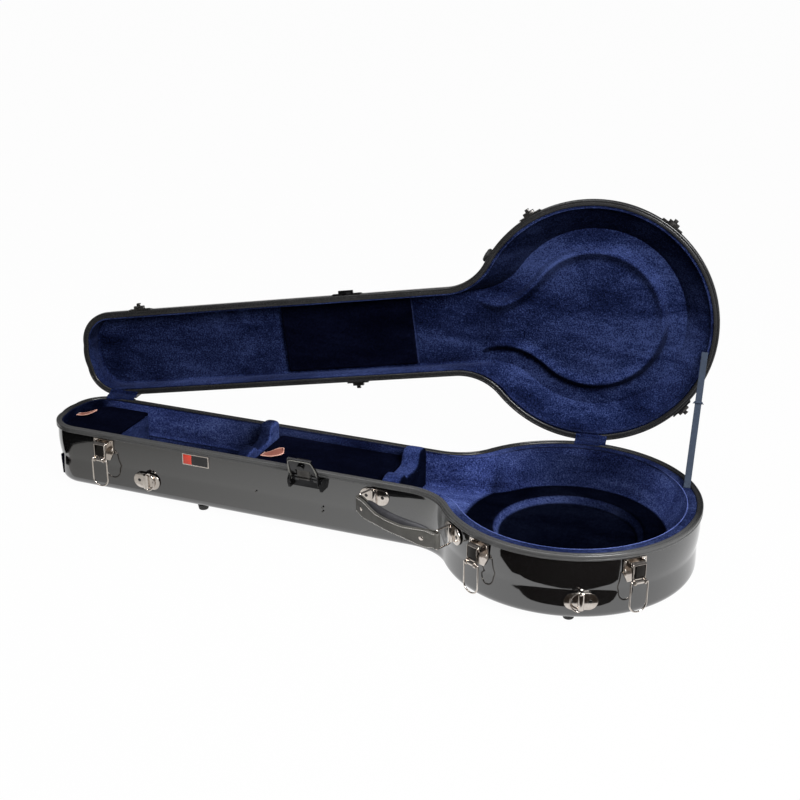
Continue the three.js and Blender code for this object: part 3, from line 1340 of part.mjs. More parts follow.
function lidParts() {
  const stop = piece('lid_bumper', bumper(), blackRubber());
  stop.position.z = LID_RIM_FACE + BUMPER_HEIGHT;
  return [
    piece('lid_shell', lidShell(), glossBlack()),
    piece('lid_rim', rimLoft(LID_RIM_FACE, 1), rimGrey()),
    piece('lid_neck_lining', lidNeckLining(), bluePlush()),
    piece('lid_body_lining', lidBodyLining(), bluePlush()),
    ...LATCHES.map(([name, station]) =>
      station(piece(`${name}_latch_catch`, latchCatch(), nickel()))),
    onFrontNeck(LOCK_X, piece('lock_catch', lockCatch(), blackMetal())),
    ...Object.entries(HINGE_PLACES).map(([name, place]) => onHinge(place,
      piece(`${name}_hinge_lid_leaf`, lidLeaf(place), blackMetal()))),
    onBody(BUMPER_ANGLE, stop),
  ];
}

// The lid is drawn closed and swung open about the hinge line.
function openLid() {
  const closed = new THREE.Group();
  closed.position.copy(LID_PIVOT).negate();
  closed.add(...lidParts());
  const swung = new THREE.Group();
  swung.position.copy(LID_PIVOT);
  swung.quaternion.setFromAxisAngle(HINGE_AXIS, rad(-LID_OPEN_ANGLE));
  swung.add(closed);
  return swung;
}

const layout = new THREE.Group();
layout.add(...baseParts(), openLid());

const banjoCase = new THREE.Group();
banjoCase.add(layout);
const extent = new THREE.Box3().setFromObject(banjoCase, true);
const middle = extent.getCenter(new THREE.Vector3());
layout.position.set(-middle.x, -middle.y, -extent.min.z);

export default banjoCase;
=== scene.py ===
import math

import bmesh
import bpy
from mathutils import Matrix, Vector, geometry, kdtree, noise


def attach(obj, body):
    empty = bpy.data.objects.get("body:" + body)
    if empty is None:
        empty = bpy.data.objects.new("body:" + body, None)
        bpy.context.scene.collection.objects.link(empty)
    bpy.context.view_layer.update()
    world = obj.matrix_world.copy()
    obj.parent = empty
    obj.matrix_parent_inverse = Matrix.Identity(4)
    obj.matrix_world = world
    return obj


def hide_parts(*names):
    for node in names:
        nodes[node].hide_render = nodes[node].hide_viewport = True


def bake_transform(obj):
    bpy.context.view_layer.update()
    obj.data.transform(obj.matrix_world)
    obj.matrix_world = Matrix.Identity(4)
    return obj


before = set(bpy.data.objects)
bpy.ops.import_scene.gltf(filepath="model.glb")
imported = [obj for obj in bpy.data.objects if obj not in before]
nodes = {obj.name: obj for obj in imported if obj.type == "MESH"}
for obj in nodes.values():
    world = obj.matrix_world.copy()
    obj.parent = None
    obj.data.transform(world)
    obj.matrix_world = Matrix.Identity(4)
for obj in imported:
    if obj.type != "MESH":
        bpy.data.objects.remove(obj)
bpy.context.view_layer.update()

# Sizes in millimetres. The case is laid out from the centre of its round body, and SHIFT
# carries that centre to its place in the row frame.
SHIFT = Vector((364.867, -49.313, 0))
RADIUS, REACH, NECK_HALF, WAIST, CORNER, BOW = 205, 920, 77.2, 85.7, 56, 3
FOOT, RIM_TOP, RIM, RIM_WIDTH, GAP = 10, 118.6, 9, 10, 0.3
LID_FACE, LID_TOP = RIM_TOP + GAP, 168.6
SHELL_INSET, LOWER_INSET, WALL = 2.3, 3.8, 3
LINING_TOP, POT_FLOOR, WELL_FLOOR = 116.6, 57.6, 22
LID_LINING_FACE, LID_CEILING = LID_FACE + 2, 158.6
POT_LIP, LID_LIP = 181, 192
BOX_LID_TOP, LEDGE = 104, 11
HINGE_LEVEL, HINGE_LINE, OPEN_ANGLE = 112.8, 208.6, 94
ROLL_OUT, ROLL_Z = 15, 77.0
COLLECTION = bpy.context.scene.collection


# Places
def turn_z(angle):
    return Matrix.Rotation(angle, 4, "Z")


corner_centre = Vector((BOW + CORNER - REACH, NECK_HALF - CORNER))
HINGE_SLOPE = (math.asin((RADIUS - CORNER) / corner_centre.length)
               - math.atan2(corner_centre.y, -corner_centre.x))
HINGE_AXIS = Vector((math.cos(HINGE_SLOPE), math.sin(HINGE_SLOPE), 0))
HINGE_NORMAL = Vector((-math.sin(HINGE_SLOPE), math.cos(HINGE_SLOPE), 0))
HINGE_POINT = HINGE_NORMAL * HINGE_LINE + Vector((0, 0, HINGE_LEVEL))
HEAD_HINGE = corner_centre.to_3d().dot(HINGE_AXIS) + 14
BODY_HINGE = 10

BASE = Matrix.Scale(0.001, 4) @ Matrix.Translation(SHIFT)
OPENED = (Matrix.Translation(HINGE_POINT)
          @ Matrix.Rotation(math.radians(-OPEN_ANGLE), 4, HINGE_AXIS)
          @ Matrix.Translation(-HINGE_POINT))
LID = BASE @ OPENED


def on_front(x):
    return Matrix.Translation((x, -NECK_HALF, 0))


def on_rear(x):
    return Matrix.Translation((x, NECK_HALF, 0)) @ turn_z(math.pi)


def on_body(degrees):
    angle = math.radians(degrees)
    return (Matrix.Translation((RADIUS * math.cos(angle), RADIUS * math.sin(angle), 0))
            @ turn_z(angle + math.pi / 2))


# Materials
def material(name, color, roughness, **sockets):
    made = bpy.data.materials.new(name)
    made.use_nodes = True
    shader = made.node_tree.nodes["Principled BSDF"]
    shader.inputs["Base Color"].default_value = (*color, 1)
    shader.inputs["Roughness"].default_value = roughness
    for key, value in sockets.items():
        shader.inputs[key.replace("_", " ").title().replace("Ior", "IOR")].default_value = value
    return made


def feed(made, socket, value):
    if hasattr(value, "is_output"):
        made.node_tree.links.new(value, socket)
    else:
        socket.default_value = value


def add(made, kind, attributes=None, **inputs):
    node = made.node_tree.nodes.new(kind)
    for key, value in (attributes or {}).items():
        setattr(node, key, value)
    for key, value in inputs.items():
        feed(made, node.inputs[key.replace("_", " ")], value)
    return node


def wire_up(made, **sockets):
    shader = made.node_tree.nodes["Principled BSDF"]
    for key, value in sockets.items():
        feed(made, shader.inputs[key.replace("_", " ")], value)


def coords(made, space="Object"):
    return add(made, "ShaderNodeTexCoord").outputs[space]


def axes(made, vector):
    return add(made, "ShaderNodeSeparateXYZ", Vector=vector).outputs


def grain(made, vector, scale, detail=4, rough=0.6, twist=0.0):
    return add(made, "ShaderNodeTexNoise", Vector=vector, Scale=scale, Detail=detail,
               Roughness=rough, Distortion=twist).outputs["Fac"]


def stretched(made, vector, scale):
    return add(made, "ShaderNodeMapping", Vector=vector, Scale=scale).outputs["Vector"]


def waves(made, vector, direction, scale, twist, detail=2):
    return add(made, "ShaderNodeTexWave", {"bands_direction": direction}, Vector=vector,
               Scale=scale, Distortion=twist, Detail=detail).outputs["Fac"]


def ramp(made, value, *stops):
    """A colour ramp. A stop is a position with a colour or a grey."""
    node = add(made, "ShaderNodeValToRGB", Fac=value)
    points = node.color_ramp.elements
    while len(points) < len(stops):
        points.new(0.5)
    for point, (position, color) in zip(points, stops):
        point.position = position
        point.color = (*(color if isinstance(color, tuple) else (color,) * 3), 1)
    return node.outputs["Color"]


def span(made, value, low, high, start=0.35, end=0.65):
    return add(made, "ShaderNodeMapRange", Value=value, From_Min=start, From_Max=end,
               To_Min=low, To_Max=high).outputs["Result"]


def calc(made, operation, first, *others):
    """One kind of arithmetic over two or more values."""
    for value in others:
        node = made.node_tree.nodes.new("ShaderNodeMath")
        node.operation = operation
        feed(made, node.inputs[0], first)
        feed(made, node.inputs[1], value)
        first = node.outputs["Value"]
    return first


def plus(made, *values):
    return calc(made, "ADD", *values)


def times(made, *values):
    return calc(made, "MULTIPLY", *values)


def most(made, *values):
    return calc(made, "MAXIMUM", *values)


def bump(made, height, strength, distance):
    return add(made, "ShaderNodeBump", Height=height, Strength=strength,
               Distance=distance).outputs["Normal"]


def plush(name, palette, sheen=0.1, painted_light=None):
    """Velvet: a fine speckled pile over faint brushed patches. The last argument, when given, is
    painted
    light and shade: a grey by the way that a face looks, which multiplies the colour and the
    sheen."""
    made = material(name, palette[1], 0.95, sheen_weight=sheen, sheen_roughness=0.4,
                    sheen_tint=(0.3, 0.4, 0.95, 1), specular_ior_level=0)
    at = coords(made)
    brushed = stretched(made, at, (0.5, 1, 1.4))
    patches = grain(made, brushed, 11, 3, 0.55, 0.8)
    strokes = grain(made, brushed, 70, 3, 0.6, 1.0)
    pile = grain(made, at, 450, 3, 0.75)
    tone = plus(made, times(made, patches, 0.34), times(made, strokes, 0.12),
                times(made, pile, 0.54))
    color = ramp(made, tone, (0.38, palette[0]), (0.5, palette[1]), (0.62, palette[2]))
    # Painted light and shade: the grey multiplies both the sheen and the colour.
    if painted_light:
        shade = painted_light(made, at)
        wire_up(made, Sheen_Weight=times(made, shade, sheen))
        mixed = add(made, "ShaderNodeMix", {"data_type": "RGBA", "blend_type": "MULTIPLY"})
        for socket, value in zip((0, 6, 7), (1, color, shade)):
            feed(made, mixed.inputs[socket], value)
        color = mixed.outputs[2]
    fibre = grain(made, at, 1500, 3, 0.8)
    wire_up(made, Base_Color=color,
            Normal=bump(made, plus(made, fibre, times(made, pile, 2.0)), 1.0, 0.0005))
    return made


def facing(made, axis, *stops):
    """A painted light-and-shade grey that follows how far a face looks along an axis, from -1 to
    1.
    """
    look = axes(made, coords(made, "Normal"))[axis]
    return ramp(made, times(made, plus(made, look, 1.0), 0.5),
                *[((at + 1) / 2, shade) for at, shade in stops])


# Painted shade on the lid lining: faces that look downward are darkened, faces that look upward
# stay light.
def painted_light_on_lid(made, at):
    return facing(made, "Z", (-0.5, 0.2), (-0.12, 0.36), (0.02, 0.72), (0.3, 1.0))


def painted_light_on_base(made, at):
    """Painted light and shade: lit side walls, a dark rear wall and floor, a lit stretch of floor
    toward the heel rest, and a dark head end.
    """
    x, y, z = axes(made, at)
    rear = most(made, facing(made, "Y", (-1.0, 0.125), (-0.85, 0.2), (-0.5, 0.75), (0.0, 1.0)),
                ramp(made, span(made, x, 0, 1, -0.6, 0.6), (0.15, 0.62), (0.27, 0.4),
                     (0.34, 0.1), (0.56, 0.1), (0.6, 0.5), (0.72, 0.1)))
    low = most(made, span(made, z, 0, 1, 0.056, 0.06),
               facing(made, "X", (-0.4, 0.12), (0.5, 1.0)))
    walls = times(made, rear, facing(made, "X", (-0.2, 1.0), (0.6, 0.72)), low,
                  facing(made, "Z", (0.3, 1.0), (0.7, 0.45), (0.9, 0.03)))
    from_x, from_y = (calc(made, "SUBTRACT", value, middle / 1000)
                      for value, middle in zip((x, y), SHIFT))
    apart = plus(made, times(made, from_x, from_x), times(made, from_y, from_y))
    # Painted light on the floor outside the pot's circle, between the pot and the heel rest.
    heel = times(made, span(made, apart, 0, 0.6, 0.0268, 0.0298),
                 times(made, span(made, x, 0, 1, 0.05, 0.11), span(made, x, 1, 0, 0.2, 0.25)))
    looks = most(made, walls, span(made, z, 0, 0.2, 0.094, 0.108), heel)
    return times(made, looks, span(made, x, 0.07, 1, -0.52, -0.48))


# Painted light and shade on the base piping: light along the front and round the tail end, shade
# along the rear and toward the neck.
def painted_light_on_piping(made, at):
    x, y, _ = axes(made, at)
    front = most(made, span(made, y, 1, 0.1, 0.02, 0.08), span(made, x, 0, 1, 0.47, 0.52))
    return times(made, front, span(made, x, 0.1, 1, 0.12, 0.19))


# Painted light on the neck rest's faces that look along +X, painted shade on its other faces.
def painted_light_on_neck_rest(made, at):
    return facing(made, "X", (0.0, 0.22), (0.35, 0.35), (0.65, 1.0))


# Painted light on the heel rest's faces that look up or toward -X, painted shade on its faces
# that look along +X.
def painted_light_on_heel_rest(made, at):
    return facing(made, "X", (0.25, 1.0), (0.55, 0.3), (0.75, 0.08))


def gloss():
    made = material("shell_gloss", (0.0035, 0.0035, 0.0037), 0.045, ior=2.0,
                    coat_weight=0.4, coat_roughness=0.03, coat_ior=1.6)
    at = coords(made)
    haze, dust = grain(made, at, 9), grain(made, at, 700, 2, 0.9)
    wire_up(made, Roughness=span(made, haze, 0.035, 0.09),
            Base_Color=ramp(made, dust, (0.0, (0.003, 0.003, 0.0032)),
                            (0.72, (0.0035, 0.0035, 0.0038)), (0.8, (0.011, 0.011, 0.012))),
            Normal=bump(made, grain(made, at, 60, 2), 0.06, 0.0004))
    return made


def satin(name, color, worn, roughness, scale=90, metallic=0.0):
    made = material(name, color, roughness, metallic=metallic)
    at = coords(made)
    cloud = grain(made, at, scale / 4, 4, 0.65)
    fine = grain(made, at, scale * 14, 3, 0.7)
    wire_up(made, Base_Color=ramp(made, cloud, (0.35, color), (0.7, worn)),
            Roughness=span(made, fine, roughness * 0.8, roughness * 1.25),
            Normal=bump(made, fine, 0.15, 0.0003))
    return made


def front_lit(made, rear_tone, front_tone):
    """Paints light onto a paint: a paler tone, as painted light, on the half of the case that
    faces the front.
    """
    where = span(made, axes(made, coords(made))["Y"], 0, 1, -0.04, -0.12)
    wire_up(made, Base_Color=ramp(made, where, (0.0, rear_tone), (1.0, front_tone)))
    return made


def nickel():
    made = material("nickel", (0.6, 0.55, 0.5), 0.12, metallic=1)
    at = coords(made)
    cloud = grain(made, at, 80, 4, 0.7)
    scuffs = grain(made, stretched(made, at, (2600, 160, 900)), 1, 2, 0.5)
    wire_up(made,
            Base_Color=ramp(made, cloud, (0.3, (0.5, 0.45, 0.41)), (0.7, (0.68, 0.63, 0.58))),
            Roughness=span(made, plus(made, cloud, scuffs), 0.07, 0.22, 0.7, 1.3),
            Normal=bump(made, scuffs, 0.08, 0.0001))
    return made


def leather(name, low, high, roughness, size):
    made = material(name, low, roughness, specular_ior_level=0.4)
    at = coords(made)
    pores = add(made, "ShaderNodeTexVoronoi", {"feature": "DISTANCE_TO_EDGE"}, Vector=at,
                Scale=size, Randomness=1.0).outputs["Distance"]
    cloud, fine = grain(made, at, 45, 4, 0.65), grain(made, at, size * 2, 3)
    tone = plus(made, times(made, cloud, 0.7), times(made, fine, 0.3))
    wire_up(made, Base_Color=ramp(made, tone, (0.35, low), (0.65, high)),
            Roughness=span(made, fine, roughness - 0.08, roughness + 0.12),
            Normal=bump(made, plus(made, calc(made, "MINIMUM", pores, 0.12), fine),
                        0.35, 0.0005))
    return made


def webbing():
    made = material("webbing", (0.035, 0.062, 0.115), 0.8, sheen_weight=0.2,
                    sheen_roughness=0.5, sheen_tint=(0.5, 0.65, 1, 1))
    at = coords(made, "UV")
    weave = times(made, waves(made, at, "Y", 520, 0.3, 1), waves(made, at, "X", 260, 0.2, 1))
    cloud = grain(made, coords(made), 160, 3)
    tone = plus(made, times(made, weave, 0.5), times(made, cloud, 0.6))
    wire_up(made, Base_Color=ramp(made, tone, (0.2, (0.008, 0.015, 0.03)),
                                  (0.75, (0.023, 0.037, 0.064))),
            Normal=bump(made, weave, 0.6, 0.0004))
    return made


def thread():
    made = material("thread", (0.6, 0.58, 0.54), 0.7, sheen_weight=0.2)
    twist = waves(made, coords(made), "DIAGONAL", 900, 0.5)
    wire_up(made,
            Base_Color=ramp(made, twist, (0.1, (0.42, 0.4, 0.37)), (0.8, (0.68, 0.66, 0.62))),
            Normal=bump(made, twist, 0.5, 0.0002))
    return made


GLOSS = gloss()
# The base rim: painted light on its front half, near black behind.
RIM_FRONT_LIT = front_lit(satin("rim_grey", (0.014, 0.014, 0.0145), (0.024, 0.024, 0.025), 0.27),
                     0.014, 0.062)
RIM_BLACK = satin("rim_black", (0.009, 0.009, 0.0095), (0.016, 0.016, 0.017), 0.27)
NAVY = ((0.0006, 0.001, 0.005), (0.0072, 0.0118, 0.044), (0.036, 0.053, 0.15))
LIT_NAVY = ((0.006, 0.009, 0.045), (0.052, 0.08, 0.28), (0.2, 0.28, 0.7))
LID_NAVY = ((0.0006, 0.001, 0.005), (0.0074, 0.012, 0.046), (0.04, 0.06, 0.17))
REST_NAVY = ((0.003, 0.0045, 0.018), (0.016, 0.026, 0.095), (0.06, 0.088, 0.24))
NEAR_BLACK = ((0.0005, 0.0006, 0.002), (0.001, 0.0013, 0.0048), (0.003, 0.004, 0.013))
# A brighter palette for the base piping: a painted highlight along its crest.
PIPING_HIGHLIGHT_BLUE = ((0.025, 0.036, 0.12), (0.06, 0.085, 0.25), (0.11, 0.145, 0.37))
PLUSH = plush("blue_plush", NAVY)
# The base lining, the lid lining, the rests and the base piping carry painted light and shade by
# face direction and place.
BASE_PLUSH = plush("base_plush", LIT_NAVY, painted_light=painted_light_on_base)
LID_PLUSH = plush("lid_plush", LID_NAVY, painted_light=painted_light_on_lid)
NECK_REST_PLUSH = plush("neck_rest_plush", REST_NAVY, painted_light=painted_light_on_neck_rest)
HEEL_REST_PLUSH = plush("heel_rest_plush", REST_NAVY, painted_light=painted_light_on_heel_rest)
DARK_PLUSH = plush("dark_plush", NEAR_BLACK, 0.01)
BASE_PIPING = plush("base_piping", PIPING_HIGHLIGHT_BLUE, 0.3, painted_light_on_piping)
LID_PIPING = plush("lid_piping", NAVY, 0.2)
NICKEL = nickel()
BLACK_METAL = satin("black_metal", (0.012, 0.012, 0.013), (0.03, 0.03, 0.032), 0.16, 120, 0.9)
DARK_GLASS = satin("dark_polish", (0.01, 0.009, 0.008), (0.02, 0.018, 0.016), 0.12, 120, 0.8)
DARK_STEEL = satin("dark_steel", (0.05, 0.048, 0.046), (0.12, 0.115, 0.11), 0.3, 200, 1.0)
CHARCOAL = leather("charcoal_leather", (0.05, 0.048, 0.043), (0.088, 0.085, 0.076), 0.5, 900)
ROLL_LEATHER = leather("roll_leather", (0.026, 0.026, 0.029), (0.05, 0.05, 0.055), 0.36, 900)
TAN = leather("tan_leather", (0.2, 0.065, 0.045), (0.33, 0.125, 0.09), 0.5, 1300)
TAN_EDGE = leather("tan_edge", (0.62, 0.32, 0.25), (0.8, 0.46, 0.37), 0.5, 1300)
# A pale grey for the lock hood's rolled edge: a painted highlight.
HOOD_EDGE_HIGHLIGHT = satin("hood_edge", (0.1, 0.098, 0.09), (0.17, 0.166, 0.15), 0.35)
RUBBER = satin("black_rubber", (0.008, 0.008, 0.008), (0.02, 0.02, 0.02), 0.62)
WEBBING = webbing()
THREAD = thread()
ENAMEL = satin("badge_field", (0.006, 0.006, 0.007), (0.012, 0.012, 0.013), 0.16)
RED = satin("badge_red", (0.5, 0.035, 0.018), (0.6, 0.06, 0.035), 0.22)
PALE = satin("badge_frame", (0.5, 0.44, 0.4), (0.66, 0.6, 0.55), 0.3, 90, 0.5)


# Meshes. Points are millimetres in a place that `where` turns into the row frame.
PLUSH_CREASE, PLUSH_WELD = 80, 2e-5
UP = Vector((0, 0, 1))


def finish_mesh(obj, paint, crease):
    mesh = obj.data
    mesh.materials.clear()
    mesh.materials.append(paint)
    mesh.shade_smooth()
    mesh.set_sharp_from_angle(angle=math.radians(crease))


def face_outward(mesh, weld=None):
    work = bmesh.new()
    work.from_mesh(mesh)
    if weld:
        bmesh.ops.remove_doubles(work, verts=work.verts, dist=weld)
    bmesh.ops.recalc_face_normals(work, faces=work.faces)
    work.to_mesh(mesh)
    work.free()


def make(name, points, faces, paint, where=BASE, crease=35, uv=None):
    mesh = bpy.data.meshes.new(name)
    mesh.from_pydata([where @ Vector(p) for p in points], [], faces)
    if uv:
        layer = mesh.uv_layers.new(name="flat")
        for loop in mesh.loops:
            layer.data[loop.index].uv = uv[loop.vertex_index]
    face_outward(mesh)
    obj = bpy.data.objects.new(name, mesh)
    COLLECTION.objects.link(obj)
    finish_mesh(obj, paint, crease)
    return obj


def make_plush(name, points, faces, paint, where):
    piece = make(name, points, faces, paint, where, PLUSH_CREASE)
    face_outward(piece.data, PLUSH_WELD)
    finish_mesh(piece, paint, PLUSH_CREASE)
    return piece


def joined(parts):
    points, faces = [], []
    for some_points, some_faces in parts:
        faces += [[i + len(points) for i in face] for face in some_faces]
        points += some_points
    return points, faces


def merge(name, parts, paint, where=BASE, crease=35):
    return make(name, *joined(parts), paint, where, crease)


def moved(part, where):
    return [where @ Vector(p) for p in part[0]], part[1]


def fit(piece, body, slot=None, *replaced):
    """Says which body the piece rides on and the CAD nodes that it replaces. The slot is not
    used.
    """
    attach(piece, body)
    if replaced:
        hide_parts(*replaced)
    return piece


def skin(rings, closed=False, capped=False):
    count = len(rings[0])
    points = [Vector(p) for ring in rings for p in ring]
    faces = []
    for a in range(len(rings) if closed else len(rings) - 1):
        b = (a + 1) % len(rings)
        for i in range(count):
            j = (i + 1) % count
            faces.append((a * count + i, a * count + j, b * count + j, b * count + i))
    if capped:
        for a in (0, len(rings) - 1):
            for face in geometry.tessellate_polygon([[Vector(p) for p in rings[a]]]):
                faces.append(tuple(a * count + i for i in face))
    return points, faces


def headings(path, closed=False):
    """The direction of travel at each point of a path."""
    last = len(path) - 1
    for i in range(len(path)):
        before = path[i - 1] if i or closed else path[i]
        after = path[(i + 1) % len(path)] if i < last or closed else path[i]
        yield (after - before).normalized()


def sweep(path, section, closed=False):
    """A section of (across, up) points carried upright along a path."""
    path = [Vector(p) for p in path]
    rings = []
    for point, ahead in zip(path, headings(path, closed)):
        side = ahead.cross(UP)
        side = side.normalized() if side.length > 1e-6 else Vector((1, 0, 0))
        top = side.cross(ahead).normalized()
        rings.append([point + (side * a + top * b) for a, b in section])
    return skin(rings, closed, not closed)


def circle(radius, sides):
    return [(radius * math.cos(math.tau * i / sides), radius * math.sin(math.tau * i / sides))
            for i in range(sides)]


def tube(path, radius, sides=14, closed=False):
    """A round wire whose frame is carried along without twisting."""
    path = [Vector(p) for p in path]
    rings, side = [], None
    for point, ahead in zip(path, headings(path, closed)):
        if side is None:
            side = ahead.orthogonal().normalized()
        side = (side - ahead * side.dot(ahead)).normalized()
        top = ahead.cross(side)
        rings.append([point + side * a + top * b for a, b in circle(radius, sides)])
    return skin(rings, closed, not closed)


def two_sided(rows, columns, flipped=False):
    """The faces of a sheet that has two layers of points and is closed round its edge."""
    row, side = columns + 1, (columns + 1) * (rows + 1)
    faces = []
    for i in range(rows):
        for a in range(i * row, i * row + columns):
            faces.append((a, a + 1, a + row + 1, a + row))
            faces.append((side + a, side + a + row, side + a + row + 1, side + a + 1))
        a, b = i * row, (i + 1) * row
        faces.append((a, b, side + b, side + a))
        a, b = a + columns, b + columns
        faces.append((a, side + a, side + b, b))
    for i in (0, rows):
        faces += [(a, side + a, side + a + 1, a + 1) for a in range(i * row, i * row + columns)]
    return [(face[0], *face[:0:-1]) for face in faces] if flipped else faces


def arc(centre, radius, start, end, steps):
    return [Vector((centre[0] + radius * math.cos(start + (end - start) * i / steps),
                    centre[1] + radius * math.sin(start + (end - start) * i / steps)))
            for i in range(steps + 1)]


def cubic(a, b, c, d, steps):
    return [a * (1 - t) ** 3 + b * 3 * t * (1 - t) ** 2 + c * 3 * t * t * (1 - t) + d * t ** 3
            for t in [i / steps for i in range(1, steps + 1)]]


def rounded(corners, radius, steps):
    """A path through the corners with its bends rounded."""
    corners = [Vector(c) for c in corners]
    path = [corners[0]]
    for before, here, after in zip(corners, corners[1:], corners[2:]):
        into, out = (here - before).normalized(), (after - here).normalized()
        start, end = here - into * radius, here + out * radius
        for i in range(steps + 1):
            t = i / steps
            path.append(start * (1 - t) ** 2 + here * 2 * t * (1 - t) + end * t * t)
    return path + [corners[-1]]


def relaxed(path, weight, times):
    """The path with its bends eased and its ends kept."""
    for _ in range(times):
        eased = [(a + b * weight + c) / (weight + 2)
                 for a, b, c in zip(path, path[1:], path[2:])]
        path = [path[0], *eased, path[-1]]
    return path


def dense(corners, spacing, least=1, closed=True):
    """The corners with points between them, about `spacing` apart."""
    path = []
    for a, b in zip(corners, corners[1:] + (corners[:1] if closed else [])):
        parts = max(least, round((b - a).length / spacing))
        path += [a.lerp(b, i / parts) for i in range(parts)]
    return path


def drawn_in(outline, inset):
    """The outline moved toward its middle."""
    centre = sum(outline, Vector((0, 0))) / len(outline)
    return [centre + (p - centre) * (1 - inset / max((p - centre).length, 1)) for p in outline]


def stadium(half_length, half_height, steps=16):
    reach = half_length - half_height
    return (arc((reach, 0), half_height, -math.pi / 2, math.pi / 2, steps)
            + arc((-reach, 0), half_height, math.pi / 2, 1.5 * math.pi, steps))


def slab(outline, back, front, edge, at):
    """A plate seen from -Y with a rounded front edge. The outline is (x, z) points."""
    levels = ((0, back), (0, front - edge), (edge * 0.3, front - edge * 0.3), (edge, front))
    return skin([[Vector((q.x + at[0], -out, q.y + at[1])) for q in drawn_in(outline, inset)]
                 for inset, out in levels], capped=True)


def bar(profile, half, edge=0.3):
    """A bar along X with the given (out, z) profile and slightly drawn-in ends."""
    profile = [Vector(p) for p in profile]
    levels = ((-half, edge), (edge - half, 0), (half - edge, 0), (half, edge))
    return skin([[Vector((x, -q.x, q.y)) for q in drawn_in(profile, shrink)]
                 for x, shrink in levels], capped=True)


def dome(x, out, z, radius, height, steps=5, sides=18):
    """A rivet head on a face that looks along -Y."""
    rings = []
    for i in range(steps + 1):
        angle = math.pi / 2 * i / steps
        r, h = max(radius * math.cos(angle), 0.02), height * math.sin(angle)
        rings.append([Vector((x + r * a, -out - h, z + r * b)) for a, b in circle(1, sides)])
    return skin(rings, capped=True)


# Outlines of the case, counter-clockwise, always with the same number of points
def mirrored(upper):
    return upper + [Vector((p.x, -p.y)) for p in reversed(upper[1:-1])]


def banjo(radius, half, reach, waist, corner):
    fillet = (-math.sqrt((radius + waist) ** 2 - (half + waist) ** 2), half + waist)
    join = math.atan2(fillet[1], fillet[0])
    upper = arc((0, 0), radius, 0, join, 90)
    upper += arc(fillet, waist, join - math.pi, -math.pi / 2, 20)[1:]
    start, stop = fillet[0], BOW + corner - reach
    upper += [Vector((start + (stop - start) * i / 40, half)) for i in range(1, 40)]
    upper += arc((stop, half - corner), corner, math.pi / 2, math.pi, 18)
    side = half - corner
    for i in range(1, 7):
        y = side * (1 - i / 6)
        upper.append(Vector((BOW * (y / side) ** 2 - reach, y)))
    return mirrored(upper)


def case_outline(inset):
    return banjo(RADIUS - inset, NECK_HALF - inset, REACH - inset, WAIST + inset,
                 max(CORNER - inset, 4))


def pot_outline(radius, inset=0.0):
    return banjo(radius - inset, NECK_HALF - LEDGE - inset, REACH - LEDGE - inset,
                 WAIST + 14.3 + inset, CORNER - LEDGE - inset)


def at_height(outline, z):
    return [Vector((p.x, p.y, z)) for p in outline]


def flat(ring):
    return [Vector((p.x, p.y)) for p in ring]


def case_skin(profile, closed=False):
    rings = [at_height(case_outline(inset), z) for inset, z in profile]
    return skin(rings, closed, not closed)


# Shells. Their profiles are (inset, height) points.
def band(low, high, inset, tuck, steps=10):
    """A wall that is fullest at mid height and tucks in toward both of its edges."""
    return [(inset + tuck * (2 * i / steps - 1) ** 2, low + (high - low) * i / steps)
            for i in range(steps + 1)]


def quarter(inset, level, radius, direction, steps=10):
    return [(inset + radius * (1 - math.cos(math.pi / 2 * i / steps)),
             level - direction * radius * (1 - math.sin(math.pi / 2 * i / steps)))
            for i in range(steps + 1)]


INNER = SHELL_INSET + WALL
LOWER_WALL = [(4.66, 26), (4.64, 30), (4.68, 34), (4.78, 38), (4.9, 42), (5.02, 46), (5.1, 50),
              (5.16, 53), (5.18, 56), (5.1, 58.5), (4.72, 61), (4.33, 63.5), (3.94, 66),
              (3.56, 68.5)]
base_profile = (quarter(LOWER_INSET + 0.9, FOOT, 14, -1)[::-1] + LOWER_WALL
                + band(71, 108, SHELL_INSET, 1.0)
                + [(SHELL_INSET + 1, 113), (INNER, 113), (INNER, 70), (LOWER_INSET + WALL, 64),
                   (LOWER_INSET + WALL, 27), (LOWER_INSET + 14, 13)])
fit(make("base_shell_skin", *case_skin(base_profile), GLOSS, crease=50),
    "case_base", "shell_gloss", "base_shell")

lid_profile = ([(INNER + 14, LID_TOP - WALL), (INNER + 3, 152), (INNER, 124), (SHELL_INSET, 124)]
               + band(127, 150, SHELL_INSET + 1.2, 0.7)
               + quarter(SHELL_INSET + 2.6, LID_TOP, 16, 1))
fit(make("lid_shell_skin", *case_skin(lid_profile), GLOSS, LID, crease=50),
    "lid", "shell_gloss", "lid_shell")

# Closure rims with two grooves, seen from their closing face downward
RIM_SECTION = [(2.0, 9.0), (0.3, 9.0), (0.05, 8.7), (0.0, 6.6), (0.15, 6.3), (0.75, 6.1),
               (0.75, 5.6), (0.15, 5.4), (0.0, 5.1), (0.0, 2.2), (0.25, 1.1), (0.8, 0.35),
               (1.7, 0.0), (3.3, 0.0), (3.5, 0.15), (3.7, 0.7), (4.3, 0.7), (4.5, 0.15),
               (4.7, 0.0), (8.6, 0.0), (9.4, 0.3), (9.85, 0.9), (10.0, 1.7), (10.0, 4.0),
               (2.0, 4.0)]
for name, body, node, face, direction, where, paint in (
        ("base_rim_trim", "case_base", "base_rim", RIM_TOP, -1, BASE, RIM_FRONT_LIT),
        ("lid_rim_trim", "lid", "lid_rim", LID_FACE, 1, LID, RIM_BLACK)):
    profile = [(inset, face + direction * depth) for inset, depth in RIM_SECTION]
    fit(make(name, *case_skin(profile, closed=True), paint, where, crease=60),
        body, "rim_grey", node)


# Plush linings. A wall goes down from the rim to a floor whose loops carry the relief.
def smooth(t):
    t = max(0.0, min(1.0, t))
    return t * t * (3 - 2 * t)


